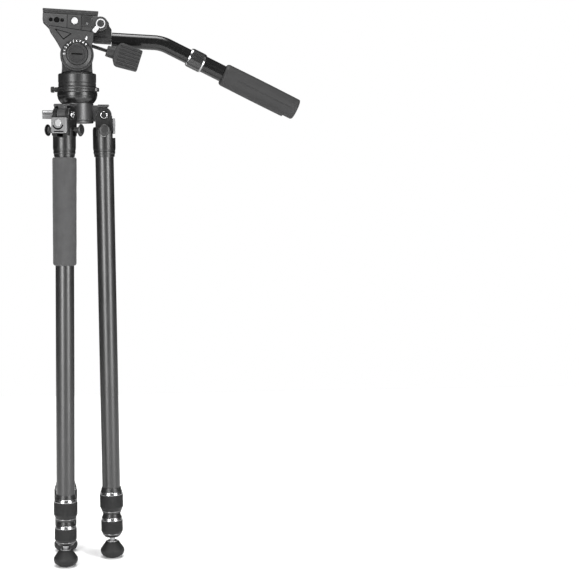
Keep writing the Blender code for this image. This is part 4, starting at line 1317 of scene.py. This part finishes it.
def make_plate():
    low, high, half, top = mm(-57.6, 31.2, 25.0, 70.0)
    plate = brick("quick_plate", (low, -half, 66 * MM), (high, half, top), TILT, 0.8 * MM, 3)
    rail = brick(
        "rail", (low + 1 * MM, -18.4 * MM, 59.6 * MM), (high - 9.6 * MM, 18.4 * MM, 67 * MM), TILT,
        0.5 * MM
    )
    skirt = brick(
        "skirt", (low + 0.6 * MM, -23.5 * MM, 63.2 * MM), (high - 0.6 * MM, 23.5 * MM, 67 * MM), TILT,
        0.4 * MM
    )
    fuse(plate, rail, skirt)
    screw_x = -13 * MM
    cuts = []
    for name, reach, width, bottom, upto in (("slot", 14, 3.6, 50, 80), ("well", 20, 9, 50, 64)):
        corners = [
            (screw_x + side * reach * MM, side * width * MM, end * MM) for side,
            end in ((-1, bottom), (1, upto))
        ]
        cuts.append(brick(name, *corners, TILT, 0))
    pads = ((low + 4 * MM, screw_x - 18 * MM), (screw_x + 18 * MM, high - 4 * MM))
    for start, end in pads:
        cuts.append(
            brick(
                "pad_seat", (start, -half + 4 * MM, top - 0.8 * MM), (end, half - 4 * MM, top + 3 * MM),
                TILT, 0
            )
        )
    cut(plate, *cuts)
    piece(plate, "camera_plate", "black_metal", "camera_plate")
    for side, (start, end) in enumerate(pads, 1):
        pad = brick(
            f"plate_pad_{side}", (start + 0.1 * MM, -half + 4.1 * MM, top - 0.75 * MM),
            (end - 0.1 * MM, half - 4.1 * MM, top), TILT, 0.2 * MM
        )
        pitch = 2.4 * MM
        count = int((end - start) / pitch)
        tools = [
            brick(
                "rib", (start + (i + 0.75) * pitch, -half + 5.5 * MM, top - 0.4 * MM),
                (start + (i + 1.15) * pitch, half - 5.5 * MM, top + 2 * MM), TILT, 0
            )
            for i in range(count - 1)
        ]
        cut(pad, *tools)
        piece(pad, "camera_plate", "grip_rubber")
    at = TILT @ Matrix.Translation((screw_x, 0, 0))
    profile = [(0, top - 0.4 * MM), (2.6 * MM, top - 0.4 * MM, 0.2 * MM)]
    profile += [
        (p[0], p[1], 0.0)
        for p in reversed(thread(3.1 * MM, 64.0 * MM, top - 1.0 * MM, 1.0 * MM, 0.45 * MM))
    ]
    profile += path_mm((2.9, 63.4), (8, 63.4), (8, 60.6), (7.4, 60), (0, 60))
    screw = lathe("camera_thumbscrew", profile, at, steps=72, soft=0.2 * MM)
    cut(screw, brick("slit", mm(-9, -0.7, 58), mm(9, 0.7, 61.2), at, 0))
    piece(screw, "camera_screw", "chrome", "camera_screw")


# --- pan handle ------------------------------------------------------------------

BAR_CORNER = 137.0 * MM
BAR_HEIGHT = 28.5 * MM
BAR_START = 55.4 * MM
BAR_Y = 10.0 * MM
BAR_BEND = 60.0 * MM
BAR_RADIUS = 12.1 * MM
DROP = math.radians(23.1)
MOUNT_EDGE = 23.0 * MM  # the mount's corner beside the cradle


def make_mount():
    outline = arc(ROSETTE, 11.8 * MM, 250, 90, 24)
    outline += [
        mm(41.6, 62.5, 1.5), mm(49.3, 55.3, 2), mm(49.9, 49.7, 2), mm(54.2, 44.6, 2), mm(55, 23.4, 2),
        (MOUNT_EDGE, 22.5 * MM, 1 * MM), (MOUNT_EDGE, 38.0 * MM, 2 * MM)
    ]
    mount = slab(
        "handle_mount_arm", outline, -2.3 * MM, 22 * MM, TILT, edge=0.9 * MM, soft=0.5 * MM, segments=3
    )
    seat_at = TILT @ Matrix.Translation((0, BAR_Y, BAR_HEIGHT + 1.6 * MM))
    seat = rod("seat", 5.3 * MM, 40 * MM, 60 * MM, seat_at, TO_RIGHT)
    cut(
        mount, disc_tool(*ROSETTE, 3.8 * MM, -30 * MM, 30 * MM), seat,
        groove_tool_mount(mm(44, 22), mm(44, 47)), groove_tool_mount(mm(44, 47), mm(51, 52))
    )
    ridge = lathe(
        "ridge", path_mm((0, 54.4), (7.4, 54.4), (8, 53.8), (8, 27.6), (7.4, 27), (0, 27)),
        TILT @ Matrix.Translation((0, 4.4 * MM, BAR_HEIGHT)), TO_RIGHT, 64, 0.3 * MM
    )
    fuse(mount, ridge)
    piece(mount, "handle_mount", "black_metal", "handle_mount")


def groove_tool_mount(start, end):
    a, b = Vector(start), Vector(end)
    way = b - a
    at = TILT @ Matrix.Translation((a.x, 0, a.y)) @ Matrix.Rotation(-math.atan2(way.y, way.x), 4, "Y")
    return brick("groove", mm(0, -5, -0.35), (way.length, -1.7 * MM, 0.35 * MM), at, 0)


def make_lever():
    """A white ring with a straight arm up and to one side, and a dark screw sunk in the ring."""
    low, high = mm(24.5, 29.0)
    lever = lathe(
        "handle_lock_lever",
        [
            (0, high - 2.2 * MM), (5.6 * MM, high - 2.2 * MM), (5.6 * MM, high - 0.3 * MM),
            (5.9 * MM, high), (7.5 * MM, high, 0.9 * MM), (7.5 * MM, low, 0.6 * MM), (3.4 * MM, low),
            mm(3.4, -21), (0, -21 * MM)
        ],
        facing(*ROSETTE), TO_FRONT
    )
    at = facing(*ROSETTE) @ Matrix.Rotation(math.radians(37.5), 4, "Y")
    arm = slab(
        "arm",
        path_mm(
            (-3.2, -6.4, 0), (-3.7, -15.2, 1.5), (-2.9, -17.7, 1.2), (2.9, -17.7, 1.2), (3.7, -15.2, 1.5),
            (3.2, -6.4, 0)
        ),
        -high + 0.2 * MM, -low, at, edge=0.8 * MM, soft=1 * MM, segments=3
    )
    fuse(lever, arm)
    piece(lever, "handle_lever", "white_plastic", "handle_lever")
    cap = lathe(
        "handle_lever_cap",
        [
            (0, high - 1.5 * MM), (5.0 * MM, high - 1.5 * MM, 0.3 * MM),
            (5.5 * MM, high - 1.8 * MM, 0.1 * MM), (5.5 * MM, high - 2.15 * MM), (0, high - 2.15 * MM)
        ],
        facing(*ROSETTE), TO_FRONT, 72, 0.2 * MM
    )
    cut(cap, socket_key("key", 2.2 * MM, high - 2.0 * MM, high + 2 * MM, facing(*ROSETTE), TO_FRONT))
    piece(cap, "handle_lever", "white_plastic", look=LOOKS["black_metal"])


def make_bar():
    """The bent bar: level out of its mount, round one bend, then straight into the sleeve."""
    reach = BAR_BEND * math.tan(DROP / 2)
    centre = (BAR_CORNER - reach, BAR_HEIGHT - BAR_BEND)
    path = [(BAR_START, BAR_HEIGHT), (BAR_START + 20 * MM, BAR_HEIGHT)]
    path += [point[:2] for point in arc(centre, BAR_BEND, 90, 90 - math.degrees(DROP), 20)]
    end = 205 * MM
    path.append((BAR_CORNER + end * math.cos(DROP), BAR_HEIGHT - end * math.sin(DROP)))
    steps = 96
    cage = bmesh.new()
    rows = []
    for index, point in enumerate(path):
        before = Vector(path[max(0, index - 1)])
        after = Vector(path[min(len(path) - 1, index + 1)])
        way = (after - before).normalized()
        across = Vector((-way.y, way.x))
        row = []
        for step in range(steps):
            angle = math.tau * step / steps
            side = across * BAR_RADIUS * math.cos(angle)
            row.append(
                cage.verts.new(
                    (point[0] + side.x, BAR_Y + BAR_RADIUS * math.sin(angle), point[1] + side.y)
                )
            )
        rows.append(row)
    for first, second in zip(rows, rows[1:]):
        for step in range(steps):
            after = (step + 1) % steps
            cage.faces.new((first[step], first[after], second[after], second[step]))
    cage.faces.new(rows[0])
    cage.faces.new(list(reversed(rows[-1])))
    bar = from_cage("handle_bar_tube", cage, TILT, UPRIGHT)
    spigot = rod(
        "spigot", 5 * MM, -13 * MM, 6 * MM,
        TILT @ Matrix.Translation((BAR_START, BAR_Y, BAR_HEIGHT + 1.6 * MM)), TO_RIGHT
    )
    fuse(bar, spigot)
    round_off(bar, 0.5 * MM, 3, 50)
    piece(bar, "handle_mount", "bar_gloss", "handle_bar")


def make_sleeve():
    low, high = mm(54.5, 242)
    sleeve = lathe(
        "handle_sleeve_tube", [(13.6 * MM, high), (13.6 * MM, low), (12.6 * MM, low), (12.6 * MM, high)],
        HANDLE
    )
    piece(sleeve, "handle_sleeve", "black_metal", "handle_sleeve", look=LOOKS["bar_gloss"])


def make_collar():
    low, high, radius = mm(49.5, 76.3, 15.9)

    def facets(angle, reach, height):
        """Eight soft lobes round the collar's dark body."""
        if reach < radius - 0.5 * MM or not low + 3.2 * MM < height < high - 3.2 * MM:
            return reach
        return reach - 0.5 * MM * (0.5 - 0.5 * math.cos(8 * angle)) ** 3

    body = [(14.3 * MM, high - 2.6 * MM), (radius - 0.4 * MM, high - 2.6 * MM), (radius, high - 3.4 * MM)]
    body += [(radius, high - 3.4 * MM - (high - low - 6.8 * MM) * k / 6, 0.0) for k in range(1, 6)]
    body += [
        (radius, low + 3.4 * MM), (radius - 0.4 * MM, low + 2.6 * MM), (12.7 * MM, low + 2.6 * MM),
        (12.7 * MM, low + 4.6 * MM), (14.3 * MM, low + 4.6 * MM)
    ]
    collar = lathe("handle_collar_grip", body, HANDLE, steps=192, soft=0.3 * MM, shape=facets)
    piece(collar, "handle_collar", "lock_rubber", "handle_collar", look=LOOKS["collar_black"])
    for name, start, end, inner in (("far", high - 2.5 * MM, high, 14.2 * MM),
                                    ("near", low + 2.5 * MM, low, 12.7 * MM)):
        ring = lathe(
            f"handle_collar_{name}_ring",
            [
                (inner, start), (radius - 0.2 * MM, start), (15.0 * MM, end + (start - end) * 0.35),
                (14.7 * MM, end), (inner, end)
            ][:: 1 if start < end else -1],
            HANDLE, steps=96, soft=0.25 * MM
        )
        piece(ring, "handle_collar", "chrome", look=LOOKS["ring_chrome"])


GRIP_LOW, GRIP_HIGH = mm(112.4, 248.0)
GRIP_RADIUS = 18.5 * MM


def grip_shape(angle, radius, height):
    """Oval-ish rubber grip: a finger lip underneath, a parting line, and a panel line on each side."""
    if radius < GRIP_RADIUS - 3.2 * MM:
        return radius
    turn = math.degrees(angle) % 360
    turn = turn - 360 if turn > 180 else turn
    under = abs(turn)  # 0 faces down, 180 up
    reach = radius
    lip_end = GRIP_HIGH - 17 * MM
    if under < 42:
        if height < lip_end:
            reach += 0.7 * MM * min(1.0, (42 - under) / 6)
        else:
            reach -= 1.8 * MM * min(1.0, (42 - under) / 6)
    if 41 <= under <= 43.5 and height < lip_end:
        reach += 0.25 * MM
    if 85 <= under <= 88 and GRIP_LOW + 26 * MM < height < GRIP_HIGH - 7 * MM:
        reach -= 0.45 * MM
    if 88 < under < 128 and GRIP_HIGH - 9 * MM < height < GRIP_HIGH - 7 * MM:
        reach -= 0.35 * MM
    return reach


def make_grip():
    inner = 13.9 * MM
    profile = [
        (0, GRIP_HIGH), (GRIP_RADIUS - 4.5 * MM, GRIP_HIGH, 0.5 * MM),
        (GRIP_RADIUS - 0.9 * MM, GRIP_HIGH - 0.9 * MM, 0.8 * MM)
    ]
    profile.append((GRIP_RADIUS, GRIP_HIGH - 3 * MM, 0.8 * MM))
    rows = 96
    start, end = GRIP_HIGH - 4.5 * MM, GRIP_LOW + 5 * MM
    for row in range(rows + 1):
        share = row / rows
        swell = 0.35 * MM * math.sin(math.pi * share)
        profile.append((GRIP_RADIUS - 0.1 * MM + swell, start + (end - start) * share, 0.0))
    profile += [
        (GRIP_RADIUS - 0.6 * MM, GRIP_LOW + 2.4 * MM, 1 * MM),
        (GRIP_RADIUS - 2.6 * MM, GRIP_LOW, 0.8 * MM), (inner, GRIP_LOW), (inner, GRIP_HIGH - 5.7 * MM),
        (0, GRIP_HIGH - 5.7 * MM)
    ]
    grip = lathe("handle_rubber_grip", profile, HANDLE, steps=288, soft=0.4 * MM, shape=grip_shape)
    piece(grip, "handle_sleeve", "grip_rubber", "handle_grip", sharp=40)


# --- tilt lock knob --------------------------------------------------------------


def make_knob():
    """The tilt lock's grip: a round neck that flares into a flat paddle with lengthwise flutes."""
    neck = 27.4 * MM
    flare = neck + 22 * MM
    end = neck + 55.6 * MM
    knob = lathe(
        "tilt_lock_grip",
        [
            (0, flare + 4 * MM), (10.6 * MM, flare + 4 * MM), (10.2 * MM, neck + 16 * MM, 2 * MM),
            (9.2 * MM, neck + 13 * MM, 1 * MM), (9.0 * MM, neck + 1.2 * MM, 1 * MM),
            (8.2 * MM, neck, 0.4 * MM), (0, neck)
        ],
        KNOB, steps=96
    )
    paddle = slab(
        "paddle",
        [
            (-9.2 * MM, neck + 13 * MM), (-17.6 * MM, neck + 17.8 * MM, 1.2 * MM),
            (-19.3 * MM, flare, 1.5 * MM), (-17.2 * MM, end, 2 * MM), (17.2 * MM, end, 2 * MM),
            (19.3 * MM, flare, 1.5 * MM), (17.6 * MM, neck + 17.8 * MM, 1.2 * MM),
            (9.2 * MM, neck + 13 * MM)
        ],
        -11 * MM, 11 * MM, KNOB, edge=1.2 * MM, soft=1.5 * MM, segments=3
    )
    fuse(knob, paddle)
    grooves = []
    for x in (-13.8, -8.3, -2.8, 2.8, 8.3, 13.8):
        for side in (-1, 1):
            at = KNOB @ Matrix.Translation((x * MM, side * 11.1 * MM, 0))
            grooves.append(
                lathe(
                    "groove",
                    [
                        (0, end + 6 * MM), (1.7 * MM, end + 6 * MM, 0.0), (1.7 * MM, flare - 1 * MM, 0.0),
                        (0, flare - 4 * MM)
                    ],
                    at, steps=24, soft=0
                )
            )
    cut(knob, *grooves)
    piece(knob, "tilt_lock_knob", "grip_rubber", "tilt_lock_knob", sharp=40)
    shaft = lathe(
        "tilt_lock_shaft",
        [(0, neck + 0.5 * MM), (2.75 * MM, neck + 0.5 * MM), mm(2.75, -6), (0, -6 * MM)], KNOB, steps=48
    )
    piece(shaft, "tilt_lock_knob", "steel", look=LOOKS["bar_gloss"])


# --- stage ----------------------------------------------------------------------


def make_camera():
    lens = bpy.data.cameras.new("camera")
    lens.lens = 86.5
    lens.sensor_width = 36.0
    lens.shift_x = 0.13
    lens.clip_start, lens.clip_end = 0.05, 100.0
    camera = bpy.data.objects.new("camera", lens)
    bpy.context.scene.collection.objects.link(camera)
    camera.location = (-0.171, -2.294, 0.668)
    camera.rotation_euler = (math.radians(90 - 5.41), 0.0, math.radians(-5.96))
    bpy.context.scene.camera = camera


def make_light(name, place, aim, size, power):
    lamp = bpy.data.lights.new(name, "AREA")
    lamp.shape = "RECTANGLE"
    lamp.size, lamp.size_y = size
    lamp.energy = power
    made = bpy.data.objects.new(name, lamp)
    bpy.context.scene.collection.objects.link(made)
    made.location = place
    made.rotation_euler = (Vector(aim) - Vector(place)).to_track_quat("-Z", "Y").to_euler()
    return made


def make_lights():
    """Two tall softboxes in front, a wide one above, and a soft straight-down light on the floor."""
    middle = (-0.15, 0.0, 0.72)
    make_light("left_softbox", (-1.10, -1.53, 0.80), middle, (0.60, 1.5), 44)
    make_light("right_softbox", (1.05, -1.34, 0.80), middle, (0.60, 1.5), 37)
    make_light("overhead", (-0.1, -0.4, 2.6), (-0.1, 0.0, 0.8), (1.6, 1.0), 10)
    lamp = bpy.data.lights.new("ceiling", "SUN")
    lamp.energy = 3.7
    lamp.angle = math.radians(40)
    made = bpy.data.objects.new("ceiling", lamp)
    bpy.context.scene.collection.objects.link(made)


def make_world():
    world = bpy.context.scene.world or bpy.data.worlds.new("world")
    bpy.context.scene.world = world
    world.use_nodes = True
    tree = world.node_tree
    tree.nodes.clear()
    seen = tree.nodes.new("ShaderNodeBackground")
    seen.inputs["Color"].default_value = (1.0, 1.0, 1.0, 1.0)
    seen.inputs["Strength"].default_value = 1.0
    shed = tree.nodes.new("ShaderNodeBackground")
    shed.inputs["Color"].default_value = (0.9, 0.9, 0.9, 1.0)
    shed.inputs["Strength"].default_value = 0.06
    path = tree.nodes.new("ShaderNodeLightPath")
    mixed = tree.nodes.new("ShaderNodeMixShader")
    out = tree.nodes.new("ShaderNodeOutputWorld")
    tree.links.new(path.outputs["Is Camera Ray"], mixed.inputs["Fac"])
    tree.links.new(shed.outputs["Background"], mixed.inputs[1])
    tree.links.new(seen.outputs["Background"], mixed.inputs[2])
    tree.links.new(mixed.outputs["Shader"], out.inputs["Surface"])


FLOOR_HALF = 1.6
FLOOR_DROP = 0.5 * MM  # keeps the floor off the soles


def make_floor():
    cage = bmesh.new()
    bmesh.ops.create_grid(cage, x_segments=1, y_segments=1, size=FLOOR_HALF)
    floor = from_cage("floor", cage, Matrix.Translation((0, 0, -FLOOR_DROP)), UPRIGHT)
    if floor.data.polygons[0].normal.z < 0:
        floor.data.flip_normals()
    nodes = Nodes("pale_floor")
    place = nodes.node("TexCoord").outputs["Object"]
    broad = nodes.noise(place, 0.6, 2.0)
    nodes.link(
        nodes.blend(nodes.span(broad, 0.0, 1.0), (0.86, 0.86, 0.86), (0.88, 0.88, 0.88)),
        nodes.shader.inputs["Base Color"]
    )
    nodes.shader.inputs["Roughness"].default_value = 0.9
    nodes.shader.inputs["Specular IOR Level"].default_value = 0.1
    floor.data.materials.append(nodes.material)


make_camera()
make_lights()
make_world()
make_floor()
make_hub()
make_stop_pads()
make_port()
make_bowl()
for leg_number in LEGS:
    make_leg(leg_number)
make_pan_base()
make_pan_knob()
make_level()
make_drum()
make_yoke()
make_cradle()
make_axle()
make_index()
make_dial()
make_dial_marks()
make_button_and_jaw()
make_plate()
make_mount()
make_lever()
make_bar()
make_sleeve()
make_collar()
make_grip()
make_knob()
bpy.context.scene.view_settings.view_transform = "Standard"
